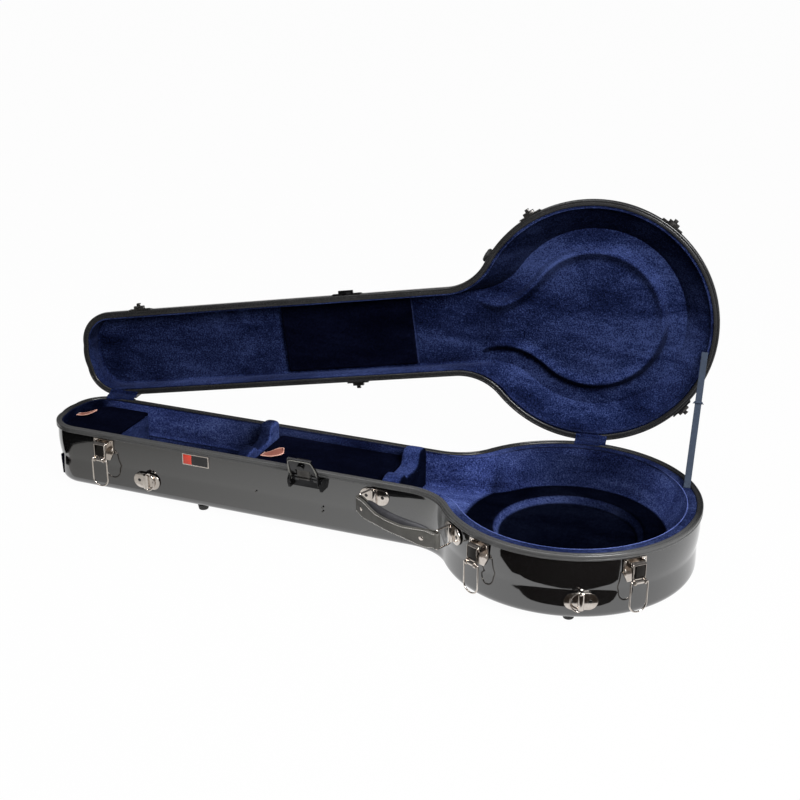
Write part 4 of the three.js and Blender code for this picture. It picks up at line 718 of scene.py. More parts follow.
def ripple(p, size, depth):
    return depth * noise.fractal(p / size, 0.8, 2.0, 3)


def tree_of(points):
    tree = kdtree.KDTree(len(points))
    for i, p in enumerate(points):
        tree.insert(p.to_3d(), i)
    tree.balance()
    return tree


def inside(p, outline):
    odd = False
    for a, b in zip(outline, outline[1:] + outline[:1]):
        if (a.y > p.y) != (b.y > p.y) and p.x < (b.x - a.x) * (p.y - a.y) / (b.y - a.y) + a.x:
            odd = not odd
    return odd


def floor_mesh(border, loops, height, spacing):
    """Triangles inside the border that keep every loop as an edge."""
    found, edges = [], []
    for loop in [border] + loops:
        start = len(found)
        found += flat(loop)
        edges += [(start + i, start + (i + 1) % len(loop)) for i in range(len(loop))]
    xs, ys = [p.x for p in border], [p.y for p in border]
    tree = tree_of(found)
    x = min(xs) + spacing
    while x < max(xs):
        y = min(ys) + spacing / 2
        while y < max(ys):
            p = Vector((x + spacing * 0.3 * noise.noise(Vector((x, y, 0)) / 9), y))
            if inside(p, border) and tree.find(p.to_3d())[2] > spacing * 0.5:
                found.append(p)
            y += spacing
        x += spacing
    made = geometry.delaunay_2d_cdt(found, edges, [list(range(len(border)))], 1, 1e-4)
    return [Vector((p.x, p.y, height(p.x, p.y))) for p in made[0]], [list(f) for f in made[2]]


def lining(name, body, replaced, where, rings, loops, height, spacing, direction, paint):
    floor = floor_mesh(flat(rings[-1]), loops, height, spacing)
    points, faces = joined([skin(rings), floor])
    for p in points:
        p.z += direction * ripple(p, 34, 0.35)
    fit(make_plush(name, points, faces, paint, where), body, "blue_plush", *replaced)


def wall_rings(lip_radius, floor_radius, top, bottom, direction):
    """From under the rim, over the soft lip, and down the wall to its foot."""
    start, lip = case_outline(RIM_WIDTH + GAP), pot_outline(lip_radius)
    rings = [at_height(start, top - direction * 3.5), at_height(start, top - direction * 0.8)]
    for t in (0.06, 0.16, 0.3, 0.5, 0.7, 0.84, 0.94):
        crown = 0.9 * math.sin(math.pi * t)
        wide = [min(1.0, (a - b).length / 9) for a, b in zip(start, lip)]
        ring = [p.lerp(q, t) for p, q in zip(start, lip)]
        rings.append([Vector((p.x, p.y, top + direction * (crown * w - 0.25)))
                      for p, w in zip(ring, wide)])
    for inset, drop in ((0.5, 1.0), (1.0, 2.6), (1.3, 5.0)):
        rings.append(at_height(pot_outline(lip_radius, inset), top - direction * drop))
    depth = abs(top - bottom)
    for i in range(1, 9):
        t = i / 9
        radius = lip_radius + (floor_radius - lip_radius) * t
        rings.append(at_height(pot_outline(radius, 1.3 + 1.2 * math.sin(math.pi * t)),
                               top - direction * (5 + (depth - 8) * t)))
    for inset, rise in ((1.6, 2.6), (2.6, 1.0), (4.2, 0.1)):
        rings.append(at_height(pot_outline(floor_radius, inset), bottom + direction * rise))
    return rings


def box_loop(x0, x1, half):
    return dense([Vector((x0, -half)), Vector((x1, -half)), Vector((x1, half)),
                  Vector((x0, half))], 9)


WELL_START, WELL_END, WELL_HALF = -897, -294.3, 62
RECESS_RADII = (124, 120, 117, 114, 111, 108, 105, 101)


def base_floor(x, y):
    if WELL_START + 0.5 <= x <= WELL_END - 0.5 and abs(y) <= WELL_HALF - 0.4:
        return WELL_FLOOR
    r = math.hypot(x, y)
    return POT_FLOOR - 12 * smooth((121 - r) / 15) - 0.4 * smooth((150 - r) / 150)


base_loops = [[Vector(p) for p in circle(r, 96)] for r in RECESS_RADII]
base_loops += [box_loop(WELL_START, WELL_END, WELL_HALF),
               box_loop(WELL_START + 1, WELL_END - 1, WELL_HALF - 1)]
lining("base_lining_plush", "case_base", ["base_lining"], BASE,
       wall_rings(POT_LIP, 157.3, LINING_TOP, POT_FLOOR, 1), base_loops, base_floor, 9, 1,
       BASE_PLUSH)

# Lid lining with its keyhole pad and the panel that presses on the neck
PAD_RADIUS, THROAT, FLARE, PAD_END, PAD_BEND = 115, 28, 46, -200, -155
PAD_LEVELS = ((10, 0.0), (8.5, 0.8), (6.5, 4.0), (4.5, 8.4), (2.5, 12.6), (0.5, 15.0),
              (-2, 16.0), (-5, 15.2), (-9, 13.0), (-15, 11.2))
PANEL_START, PANEL_END, PANEL_HALF = -546, -310, 60


def keyhole(grow):
    radius, throat = PAD_RADIUS + grow, THROAT + grow
    end = Vector((PAD_END - grow, FLARE + grow))
    join = math.radians(140)
    upper = arc((0, 0), radius, 0, join, 56)
    upper += cubic(Vector((radius * math.cos(join), radius * math.sin(join))),
                   Vector((PAD_BEND + PAD_RADIUS / 4, throat + THROAT / 4)),
                   Vector((PAD_BEND - THROAT / 4, throat)), end, 20)
    upper += [end.lerp(Vector((end.x, 0)), i / 7) for i in range(1, 8)]
    return mirrored(upper)


pad_loops = [keyhole(grow) for grow, _ in PAD_LEVELS]
pad_points = [(p, h) for loop, (_, h) in zip(pad_loops, PAD_LEVELS) for p in loop]
pad_tree = tree_of([p for p, _ in pad_points])


def lid_floor(x, y):
    p = Vector((x, y))
    _, nearest, distance = pad_tree.find(p.to_3d())
    if distance >= 0.05 and inside(p, pad_loops[-1]):
        rise = PAD_LEVELS[-1][1]
    elif distance < 0.05 or inside(p, pad_loops[0]):
        rise = pad_points[nearest][1]
    else:
        rise = 0
    rise *= smooth((x + 203) / 55)
    rise -= 2.4 * smooth((85 - math.hypot(x, y)) / 85)
    if PANEL_START < x < PANEL_END and abs(y) < PANEL_HALF:
        rise = 7.5
    return LID_CEILING - rise


panel_loops = [box_loop(PANEL_START + inset, PANEL_END - inset, PANEL_HALF - inset)
               for inset in (0, 0.8)]
lining("lid_lining_plush", "lid", ["lid_neck_lining", "lid_body_lining"], LID,
       wall_rings(LID_LIP, 155, LID_LINING_FACE, LID_CEILING, -1), pad_loops + panel_loops,
       lid_floor, 8, -1, LID_PLUSH)


def cushion_plate(name, outline, low, high, edge, paint, where=BASE):
    """A padded board with soft edges and a slightly uneven face."""
    centre = sum(outline, Vector((0, 0))) / len(outline)
    rings = []
    for inset, z in ((0.6, low), (0, low + edge * 0.6), (0.2, high - edge),
                     (0.9, high - edge * 0.35), (2.2, high - 0.05), (4.5, high)):
        ring = []
        for p in outline:
            away = p - centre
            q = p - Vector([math.copysign(min(inset, abs(a)), a) for a in away])
            ring.append(Vector((q.x, q.y, z)))
        rings.append(ring)
    points, faces = skin(rings)
    faces += geometry.tessellate_polygon([rings[0]])
    upper_ring = len(points) - len(outline)
    points, faces = joined([(points, faces),
                            floor_mesh(flat(rings[-1]), [], lambda x, y: high, 10)])
    for p in points[upper_ring:]:
        p.z += ripple(p, 45, 0.3) - 0.25
    return make_plush(name, points, faces, paint, where)


def rectangle(x0, x1, half, corner, steps=6):
    loop = []
    for quarter_turn, x, y in ((0, x1 - corner, half - corner), (1, x0 + corner, half - corner),
                               (2, x0 + corner, corner - half), (3, x1 - corner, corner - half)):
        start = quarter_turn * math.pi / 2
        loop += arc((x, y), corner, start, start + math.pi / 2, steps)
    return dense(loop, 9)


fit(cushion_plate("lid_panel_plush",
                  rectangle(PANEL_START + 0.6, PANEL_END - 0.6, PANEL_HALF - 0.6, 3),
                  -LID_CEILING + 6.5, -LID_CEILING + 9, 1.6, DARK_PLUSH,
                  LID @ Matrix.Scale(-1, 4, (0, 0, 1))), "lid", "dark_plush")

HEAD_BOX, HEAD_WALL, MIDDLE_BOX = (-905.2, -792.6), (-800, -792), (-528.7, WELL_END - 0.5)
BOX_HALF, ROUND_END = NECK_HALF - LEDGE - GAP - 1.2, -860
head_box = ([p for p in rectangle(*HEAD_BOX, BOX_HALF, 4) if p.x > ROUND_END]
            + [p for p in rectangle(*HEAD_BOX, BOX_HALF, 43, 14) if p.x <= ROUND_END])
for name, outline, node in (
        ("head_box_cover", head_box, "head_box_lid"),
        ("middle_box_cover", rectangle(*MIDDLE_BOX, BOX_HALF, 3), "middle_box_lid")):
    fit(cushion_plate(name, outline, BOX_LID_TOP - 5, BOX_LID_TOP, 2, DARK_PLUSH),
        node, "dark_plush", node)
fit(cushion_plate("head_wall_plush", rectangle(*HEAD_WALL, WELL_HALF - 0.6, 3),
                  WELL_FLOOR + 0.5, BOX_LID_TOP - 5.6, 2, PLUSH),
    "case_base", "blue_plush", "head_box_wall")

# Rests: two soft horns, the front one lower, with a shallow saddle between them
REST_FRONT_TOP, CROWN = 120, 9
REST_ENDS = ((0, 5.5), (0.8, 3.2), (2.4, 1.4), (5, 0.4), (8, 0))


def saddle(name, node, x, length, slot, low, seat, top, paint):
    half = NECK_HALF - LEDGE - 5
    edge = slot / 2

    def bend(start, steps, *rest):
        return cubic(start, *[Vector(p) for p in rest], steps)

    profile = [Vector(p) for p in (
        (-half, seat), (half, seat), (half, top - CROWN), (half - 2, top - 4),
        (half - CROWN, top - 0.6), ((half + edge) / 2, top), (edge + CROWN, top - 0.6))]
    profile += bend(profile[-1], 10, (edge + 1, top - 2), (edge + 1, low), (edge - CROWN, low))
    profile += [Vector((0, low - 0.3)), Vector((CROWN - edge, low))]
    profile += bend(profile[-1], 8, (-edge - 1, low), (-edge - 1, REST_FRONT_TOP - 1),
                    (-edge - CROWN, REST_FRONT_TOP - 0.4))
    profile += [Vector((y, REST_FRONT_TOP - drop)) for y, drop in (
        (-(half + edge) / 2, 0), (CROWN - half, 0.8), (2 - half, 4), (-half, CROWN))]
    profile = dense(profile, 5)
    stations = ([(-length / 2 + far, inset) for far, inset in REST_ENDS]
                + [(length / 2 - far, inset) for far, inset in reversed(REST_ENDS)])
    rings = []
    for along, inset in stations:
        ring = []
        for p, ahead in zip(profile, headings(profile, closed=True)):
            q = p + Vector((-ahead.y, ahead.x)) * inset
            ring.append(Vector((x + along, q.x, max(q.y, seat))))
        rings.append(ring)
    points, faces = skin(rings, capped=True)
    for p in points:
        if p.z > seat + 8:
            p.x += ripple(p, 18, 0.6)
            p.z += ripple(p + Vector((40, 0, 0)), 16, 0.9)
    piece = make(name, points, faces, paint, BASE, PLUSH_CREASE)
    piece.modifiers.new("soft", "SUBSURF").render_levels = 1
    fit(piece, "case_base", "blue_plush", node)


saddle("neck_rest_pad", "neck_rest", -541.5, 23.6, 46, 110.6, WELL_FLOOR + 0.4, 135,
       NECK_REST_PLUSH)
saddle("heel_rest_pad", "heel_rest", -277, 33.6, 56, 108.6, POT_FLOOR + 0.4, 131,
       HEEL_REST_PLUSH)

# Piping along both rims
for name, body, outline, z, where, paint in (
        ("base_piping", "case_base", pot_outline(POT_LIP, 0.2), LINING_TOP - 0.6, BASE,
         BASE_PIPING),
        ("lid_piping", "lid", pot_outline(LID_LIP, 0.4), LID_LINING_FACE - 0.2, LID,
         LID_PIPING)):
    cord = sweep(at_height(outline, z), circle(1.0, 8), closed=True)
    fit(make(name, *cord, paint, where, PLUSH_CREASE), body, "blue_plush")


# Flaps and strap
FLAP_WIDTH, FLAP_THICK = 52, 1.2
STRAP_WIDTH, STRAP_THICK, STRAP_FOOT, STRAP_TOP, KNOT_AT = 10.5, 1.3, 28.6, 19, 0.62


def cloth_strip(name, path, across, width, thick, paint, node, lift):
    """A strip of cloth along a path, with its flat size as its UVs."""
    lengths = [0.0]
    for a, b in zip(path, path[1:]):
        lengths.append(lengths[-1] + (b - a).length)
    steps = 12
    points, uv = [], []
    for face in (1, -1):
        for p, ahead, length in zip(path, headings(path), lengths):
            out = across.cross(ahead).normalized()
            for k in range(steps + 1):
                s = k / steps - 0.5
                edge = 1 - 0.6 * smooth((abs(s) - 0.42) / 0.08)
                extra = lift(s, length / lengths[-1])
                points.append(p + across * (s * width) + out * (face * thick / 2 * edge + extra))
                uv.append((s * width / 1000, length / 1000))
    piece = make(name, points, two_sided(len(path) - 1, steps), paint, BASE,
                 PLUSH_CREASE, uv)
    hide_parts(node)
    return piece, lengths[-1] / 1000


def flap(name, node, along):
    inner = RADIUS - RIM_WIDTH

    def spot(across, level):
        return HINGE_AXIS * along + HINGE_NORMAL * across + UP * level

    corners = [spot(inner - 1.2, RIM_TOP - 1.2), spot(inner + 0.6, RIM_TOP + 1.2),
               spot(inner + 5, RIM_TOP + 2.2)]
    corners += [OPENED @ spot(*place) for place in (
        (inner + 4.5, LID_FACE - 2.4), (inner + 0.6, LID_FACE - 1.2),
        (inner - 1.2, LID_FACE + 1.2))]
    path = relaxed(dense(corners, 1.6, 2, closed=False) + corners[-1:], 2, 3)

    def pleat(s, t):
        wave = 0.7 * math.cos(s * 24) + 0.4 * noise.noise(Vector((s * 5 + along, t * 3, 0)))
        return wave * math.sin(math.pi * t)

    piece, length = cloth_strip(name, path, HINGE_AXIS, FLAP_WIDTH, FLAP_THICK, PLUSH,
                                node, pleat)
    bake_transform(piece)


flap("head_flap_plush", "head_hinge_flap", HEAD_HINGE)
flap("body_flap_plush", "body_hinge_flap", BODY_HINGE)


def strap_end(degrees, level):
    angle, radius = math.radians(degrees), (POT_LIP + RADIUS - RIM_WIDTH) / 2
    return Vector((radius * math.cos(angle), radius * math.sin(angle), level))


strap_low = strap_end(STRAP_FOOT, LINING_TOP + 1.1)
strap_high = OPENED @ strap_end(STRAP_TOP, LID_LINING_FACE - 1.1)
strap_way = strap_high - strap_low
strap_ahead = strap_way.normalized()
strap_across = (HINGE_AXIS - strap_ahead * HINGE_AXIS.dot(strap_ahead)).normalized()


def strap_lift(s, t):
    return 1.2 * math.sin(math.pi * t) * math.sin(7 * t) + 0.1 * math.cos(s * 40)


strap, strap_length = cloth_strip(
    "stay_strap_webbing", [strap_low + strap_way * (i / 90) for i in range(91)], strap_across,
    STRAP_WIDTH, STRAP_THICK, WEBBING, "stay_strap", strap_lift)
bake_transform(strap)


def strap_knot():
    middle = strap_low + strap_way * KNOT_AT
    out = strap_across.cross(strap_ahead)

    def near(across, outward, along):
        return middle + strap_ahead * along + strap_across * across + out * outward

    parts = [tube([near(6.1 * a, 1.9 * b, shift) for a, b in circle(1, 20)], 0.75, 8, closed=True)
             for shift in (-1.3, 0.0, 1.3)]
    parts += [tube([near(side * 4.5, 1.6, 0), near(side * 7.0, 1.9, -1.2),
                    near(side * 8.2, 1.5, -3.0)], 0.7, 8) for side in (-1, 1)]
    points, faces = joined(parts)
    uv = [((p - middle).dot(strap_across) / 1000, (p - middle).dot(strap_ahead) / 1000)
          for p in points]
    knot = make("strap_tie", points, faces, WEBBING, BASE, 60, uv)
    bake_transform(knot)


strap_knot()


# Leather pull tabs
def pull_tab(name, node, body, x, y, half, rise, turn):
    """A tongue of leather sewn down at one end, its free end lifted and turned forward."""
    rows, columns = 26, 8

    def spot(t, s, up):
        full = math.sqrt(max(0, 1 - ((t - 0.72) / 0.28) ** 2)) if t > 0.72 else 1
        wide = max(half * full * (0.62 + 0.38 * smooth(t / 0.6)), 0.4)
        lift = rise * t * t + turn * (1 + s) * smooth(t * 1.25)
        return Vector((x + 39.5 * t, y + s * wide * (1 - 0.25 * smooth(t)),
                       BOX_LID_TOP + 0.4 + lift + 1.2 * smooth(t) * s * s + up))

    points = [spot(i / rows, 2 * k / columns - 1, up) for up in (0, 1.7)
              for i in range(rows + 1) for k in range(columns + 1)]
    fit(make(name, points, two_sided(rows, columns, flipped=True), TAN, BASE, 40),
        body, "tan_leather", node)
    way = ([spot(i / 40, -1, 0.85) for i in range(41)]
           + [spot(1 - i / 40, 1, 0.85) for i in range(1, 41)])
    fit(make(name + "_edge", *tube(way, 0.95, 8), TAN_EDGE, BASE, 60), body, "tan_leather")
    stitches = []
    for k in range(5):
        a = Vector((x + 2.2, y - 4.4 + 2.0 * k, BOX_LID_TOP + 2.5))
        stitches.append(tube([a + Vector((0, across, up)) for across, up in (
            (0, 0), (0.3, 0.25), (1.0, 0.25), (1.3, 0))], 0.3, 8))
    fit(merge(name + "_stitches", stitches, THREAD), body)


pull_tab("head_tab_leather", "head_box_tab", "head_box_lid", -903.7, 8, 6.5, 12, 0.4)
pull_tab("middle_tab_leather", "middle_box_tab", "middle_box_lid", -523.2, -22, 9.6, 7, 3.6)


# Hardware carried over from the frame gets rounded edges
def dress(node, paint, edge, crease=32):
    obj = nodes[node]
    mesh = obj.data
    mesh.materials.clear()
    mesh.materials.append(paint)
    for polygon in mesh.polygons:
        polygon.use_smooth = False
    if "custom_normal" in mesh.attributes:
        mesh.attributes.remove(mesh.attributes["custom_normal"])
    obj.modifiers.new("weld", "WELD").merge_threshold = 1e-6
    soft = obj.modifiers.new("edges", "BEVEL")
    soft.width = edge / 1000
    soft.segments = 3
    soft.limit_method = "ANGLE"
    soft.angle_limit = math.radians(crease)
    soft.harden_normals = True
    mesh.shade_smooth()


LOCK_X = -414.5
LATCHES = {
    "head": on_front(-798), "waist": on_body(-114.9), "tail": on_body(-47),
    "rear_neck": on_rear(LOCK_X), "rear_tail": on_body(49.5),
}
CATCH_HALF, WIRE = 19, 1.3


def bail_path():
    leg, stub, length = 13.95, 7.75, 49
    corners = [Vector(p) for p in (
        (-stub, 0), (-leg, 0), (-leg, length), (leg, length), (leg, 0), (stub, 0))]
    path = [corners[0]]
    for before, here, after, radius in zip(corners, corners[1:], corners[2:],
                                           (2.6, 13.4, 13.4, 2.6)):
        into, out = (here - before).normalized(), (after - here).normalized()
        centre = here - into * radius + out * radius
        for k in range(15):
            a = math.pi / 2 * k / 14
            path.append(centre - out * (radius * math.cos(a)) + into * (radius * math.sin(a)))
    path.append(corners[-1])
    return [Vector((p.x, -ROLL_OUT, ROLL_Z - p.y)) for p in path]


def coil(x0, x1, radius, wire, turns):
    steps = turns * 14
    return tube([Vector((x0 + (x1 - x0) * i / steps,
                         -ROLL_OUT + radius * math.cos(math.tau * turns * i / steps),
                         ROLL_Z + radius * math.sin(math.tau * turns * i / steps)))
                 for i in range(steps + 1)], wire, 6)


def frame_bars(half, low, high, out, radius):
    """A raised picture-frame edge on the front of the lever."""
    corners = [Vector((x, -out, z)) for x, z in (
        (-half, low), (half, low), (half, high), (-half, high))]
    return [sweep(ends, circle(radius, 8)) for ends in zip(corners, corners[1:] + corners[:1])]


def latch_catch():
    """A plate on the lid's rim and a broad hook that the bail's cross wire drops into."""
    foot, shoulder, top = LID_FACE + 0.6, LID_FACE + RIM + GAP, LID_FACE + 17.6
    under, lip_in, lip_out = 124.07, 10.9, 12.2
    plate = [(0.3, foot), (1.9, foot), (1.9, shoulder), (-0.7, shoulder + 1.6), (-0.7, top),
             (-2.3, top), (-2.3, shoulder), (0.3, shoulder)]
    block = [(0.4, under - 3), (6.4, under - 3), (7.4, under - 2), (7.4, under + 2.2),
             (6.6, under + 3), (0.4, under + 3)]
    shelf = [(7.0, under - 2.2), (lip_out - 0.6, under - 2.2), (lip_out, under - 1.6),
             (lip_out, under + 2.4), (lip_out - 0.4, under + 3), (lip_in + 0.3, under + 3),
             (lip_in, under + 2.4), (lip_in, under - 0.8), (7.0, under - 0.8)]
    return bar(plate, CATCH_HALF), bar(block, 9.5), bar(shelf, 3.4)


lever_trims = frame_bars(9.6, 82.5, 104, 13.5, 0.9)
lever_trims += [coil(x0, x1, 4.0, 0.7, 3) for x0, x1 in ((-10.4, -6.6), (6.6, 10.4))]
lever_pane = slab(rectangle(-8.8, 8.8, 10, 1.2), 13.2, 13.75, 0.3, (0, 93.3))
plate_rivets = [dome(x, -0.45, z, 2.1, 1.1) for x in (-15.4, 15.4) for z in (103.4, 90.0)]
catch_rivets = [dome(x, -0.45, 132.6, 2.0, 1.0) for x in (-14.5, 14.5)]
for name, station in LATCHES.items():
    on_base, on_lid, lever = BASE @ station, LID @ station, f"{name}_lever"
    dress(f"{name}_latch_plate", NICKEL, 0.4)
    dress(f"{name}_latch_lever", NICKEL, 0.7, 25)
    fit(merge(f"{name}_catch_hook", latch_catch(), DARK_STEEL, on_lid, 40),
        "lid", "nickel", f"{name}_latch_catch")
    fit(make(f"{name}_bail_wire", *tube(bail_path(), WIRE, 16), NICKEL, on_base, 60),
        f"{name}_bail", "nickel", f"{name}_latch_bail")
    fit(merge(f"{name}_lever_trim", lever_trims, NICKEL, on_base), lever, "nickel")
    fit(merge(f"{name}_lever_window", [lever_pane], DARK_GLASS, on_base), lever, "nickel")
    fit(merge(f"{name}_plate_rivets", plate_rivets, NICKEL, on_base), "case_base", "nickel")
    fit(merge(f"{name}_catch_rivets", catch_rivets, NICKEL, on_lid), "lid", "nickel")

for node in ("lock_base", "lock_lever", "lock_catch", "head_hinge_base_leaf",
             "body_hinge_base_leaf", "head_hinge_lid_leaf", "body_hinge_lid_leaf"):
    dress(node, BLACK_METAL, 0.5)
dress("lock_claw", DARK_STEEL, 0.4)

# The rolled edge round the inside of the lock's hood, in a pale grey that is a painted highlight
# where the black hood's edge catches the light
HOOD = (on_front(LOCK_X) @ Matrix.Translation((0, -9, 101))
        @ Matrix.Rotation(math.radians(-150), 4, "X"))
rings = []
for p in rounded([(-24.6, 0), (-24.6, -26), (-20.2, -50.6), (20.2, -50.6), (24.6, -26),
                  (24.6, 0)], 6, 6):
    deep = 0.5 + 2.6 * smooth(-p.y / 52)
    q = p + (Vector((0, -25)) - p).normalized() * 1.6
    rings.append([Vector((p.x, -4.6, p.y)), Vector((q.x, -4.2, q.y)), Vector((q.x, -deep, q.y)),
                  Vector((p.x, -deep + 0.4, p.y))])
fit(merge("lock_hood_edge", [skin(rings, capped=True)], HOOD_EDGE_HIGHLIGHT, BASE @ HOOD, 50),
    "lock_lever")
for node in ("front_neck_foot", "rear_neck_foot", "front_body_foot", "rear_body_foot",
             "lid_bumper"):
    dress(node, RUBBER, 0.8)
dress("badge_plate", PALE, 0.25)


# Two-lobed brackets with a ridge and two screws
BRACKET_HALF, BRACKET_RISE, BRACKET_THICK, RIDGE_HALF, SCREW_AT = 25, 14, 1.6, 4.75, 14


def bracket(node, station, z, back):
    front = back + BRACKET_THICK
    where = BASE @ station
    ridge = [Vector((RIDGE_HALF, 0)),
             *[Vector((RIDGE_HALF * math.cos(a), 3.4 + 3.9 * math.sin(a)))
               for a in [math.pi * i / 12 for i in range(13)]], Vector((-RIDGE_HALF, 0))]
    rings = [[Vector((p.x * (1 - inset / 5), -(back + 0.5 + p.y * (1 - inset / 8)), z + level))
              for p in ridge]
             for inset, level in ((0.9, -13), (0.25, -12.6), (0, -11.8), (0, 11.8),
                                  (0.25, 12.6), (0.9, 13))]
    parts = [slab(stadium(BRACKET_HALF, BRACKET_RISE), back, front, 0.6, (0, z)),
             skin(rings, capped=True)]
    fit(merge(node + "_plate", parts, NICKEL, where, 40), "case_base", "nickel", node)
    screws = [dome(x, front - 0.1, z, 3.0, 0.9) for x in (-SCREW_AT, SCREW_AT)]
    fit(merge(node + "_plate_screws", screws, DARK_STEEL, where), "case_base")
    grooves = []
    for x in (-SCREW_AT, SCREW_AT):
        for turn in (0.5, 0.5 + math.pi / 2):
            dx, dz = 1.6 * math.cos(turn), 1.6 * math.sin(turn)
            grooves.append(tube([Vector((x + sign * dx, -front - 0.72, z + sign * dz))
                                 for sign in (1, -1)], 0.28, 6))
    fit(merge(node + "_plate_grooves", grooves, BLACK_METAL, where), "case_base")


HANDLE_Z, RING_Z = 92, 43
HANDLE_HEAD, HANDLE_BODY = on_front(-298), on_body(-133.6)
HEAD_RING, TAIL_RING = on_front(-718), on_body(-69)
bracket("handle_head_bracket", HANDLE_HEAD, HANDLE_Z, -2.0)
bracket("handle_body_bracket", HANDLE_BODY, HANDLE_Z, -2.0)
bracket("head_ring_bracket", HEAD_RING, RING_Z, -3.5)
bracket("tail_ring_bracket", TAIL_RING, RING_Z, -3.5)

for name, station, side in (("head", HEAD_RING, 1), ("tail", TAIL_RING, -1)):
    path = [Vector((0, 0.3)), Vector((0, 13.6)),
            *arc((0, 0), 16, math.radians(82), math.radians(-82), 40),
            Vector((0, -13.6)), Vector((0, -0.3))]
    wire = [Vector((side * p.x, -1.1, RING_Z + p.y)) for p in relaxed(path, 6, 2)]
    fit(make(f"{name}_ring_wire", *tube(wire, WIRE, 14), NICKEL, BASE @ station, 60),
        f"{name}_strap_ring", "nickel", f"{name}_strap_ring")

# Carrying handle: two wire loops, a stitched leather band and a padded roll behind it
BAR_OUT, LOOP_REACH, GRIP_BOW, GRIP_HALF = 2.6, 30, 16, 12.4
head_bar = HANDLE_HEAD @ Vector((0, -BAR_OUT, 0))
bar_way = HANDLE_BODY @ Vector((0, -BAR_OUT, 0)) - head_bar
SPAN = bar_way.length
GRIP = (BASE @ (Matrix.Translation(head_bar + Vector((0, 0, HANDLE_Z)))
                @ turn_z(math.atan2(bar_way.y, bar_way.x))))
for name, x in (("head", 0), ("body", SPAN)):
    corners = [(0, 0.3), (0, 16), (LOOP_REACH, 16), (LOOP_REACH, -16), (0, -16), (0, -0.3)]
    path = rounded([Vector((x, -out, z)) for out, z in corners], 3.2, 6)
    fit(make(f"handle_{name}_wire", *tube(path, 1.5, 14), NICKEL, GRIP, 60),
        f"handle_{name}_loop", "nickel", f"handle_{name}_loop")


def grip_line(t):
    return Vector((SPAN * t, -LOOP_REACH - GRIP_BOW * math.sin(math.pi * t)))


def grip_ahead(t):
    return (grip_line(t + 0.002) - grip_line(t - 0.002)).normalized()


def grip_point(t, depth, z):
    ahead = grip_ahead(t)
    q = grip_line(t) + Vector((ahead.y, -ahead.x)) * depth
    return Vector((q.x, q.y, z))


def band_half(t):
    near = min(t, 1 - t)
    return 13 + 2.4 * smooth(near / 0.12) - 5.4 * smooth((near - 0.08) / 0.3)


def grip_band():
    """The leather band, and at each end its fold round the loop and its tail behind."""
    rings = []
    for t in [i / 60 for i in range(61)]:
        half = band_half(t)
        rings.append([grip_point(t, depth, z) for z, depth in (
            (-half, 2.6), (-half, 4.6), (-half + 1.2, 5.6), (-half + 3, 5.9), (-half * 0.4, 6.3),
            (half * 0.4, 6.3), (half - 3, 5.9), (half - 1.2, 5.6), (half, 4.6), (half, 2.6),
            (half - 1.5, 2.1), (0, 2.0), (-half + 1.5, 2.1))])
    parts = [skin(rings, capped=True)]
    half = GRIP_HALF
    for end, sign in ((0, -1), (1, 1)):
        at = grip_line(end)
        rings = []
        for z, shrink in ((-half, 0.5), (-half + 0.5, 0), (half - 0.5, 0), (half, 0.5)):
            turns = [(5.9 - shrink, a) for a in range(17)]
            turns += [(2.3 + shrink, a) for a in range(16, -1, -1)]
            rings.append([Vector((at.x + sign * r * math.sin(math.pi * (a / 16)),
                                  at.y - r * math.cos(math.pi * (a / 16)), z))
                          for r, a in turns])
        parts.append(skin(rings, capped=True))
        rings = []
        for i in range(13):
            t, deep = end - sign * 0.16 * i / 12, -5.9 + 1.0 * smooth(i / 12)
            rings.append([grip_point(t, depth, z) for depth, z in (
                (deep, -half), (deep, half), (deep + 2.6, half), (deep + 2.6, -half))])
        parts.append(skin(rings, capped=True))
    return parts


def grip_roll():
    rings = []
    for i in range(49):
        t = 0.08 + 0.85 * i / 48
        full = math.sqrt(max(0.0, 1 - abs(2 * i / 48 - 1) ** 5))
        ring = []
        for a in [math.tau * k / 20 for k in range(20)]:
            z = 16.6 * math.sin(a) * (0.5 + 0.5 * full)
            deep = (-5.8 + 8.3 * math.cos(a) * (0.3 + 0.7 * full)
                    + 0.25 * noise.noise(Vector((t * 26, z / 5, 2))))
            ring.append(grip_point(t, deep, z))
        rings.append(ring)
    return skin(rings, capped=True)


def grip_stitches(count=52):
    stitches = []
    for side in (-1, 1):
        for i in range(count):
            t0, t1 = (i + 0.2) / count, (i + 0.72) / count
            z = side * (band_half(t0) - 1.9)
            stitches.append(tube([grip_point(t0 + (t1 - t0) * k, 5.85 + lift, z)
                                  for k, lift in ((0, -0.25), (0.25, 0.12), (0.75, 0.12),
                                                  (1, -0.25))], 0.42, 6))
    return stitches


fit(merge("handle_band", grip_band(), CHARCOAL, GRIP, 50),
    "handle_grip", "charcoal_leather", "handle_grip")
roll = fit(merge("handle_roll", [grip_roll()], ROLL_LEATHER, GRIP, 60),
           "handle_grip", "charcoal_leather")
fit(merge("handle_stitching", grip_stitches(), THREAD, GRIP), "handle_grip")
heads = []
for t in (0.1, 0.87):
    at, ahead = grip_line(t), grip_ahead(t)
    place = Matrix.Translation((at.x, at.y, 0)) @ turn_z(math.atan2(ahead.y, ahead.x))
    heads.append(moved(dome(0, 5.9, 0, 4.3, 1.5), place))
fit(merge("handle_rivets", heads, NICKEL, GRIP), "handle_grip", "nickel")

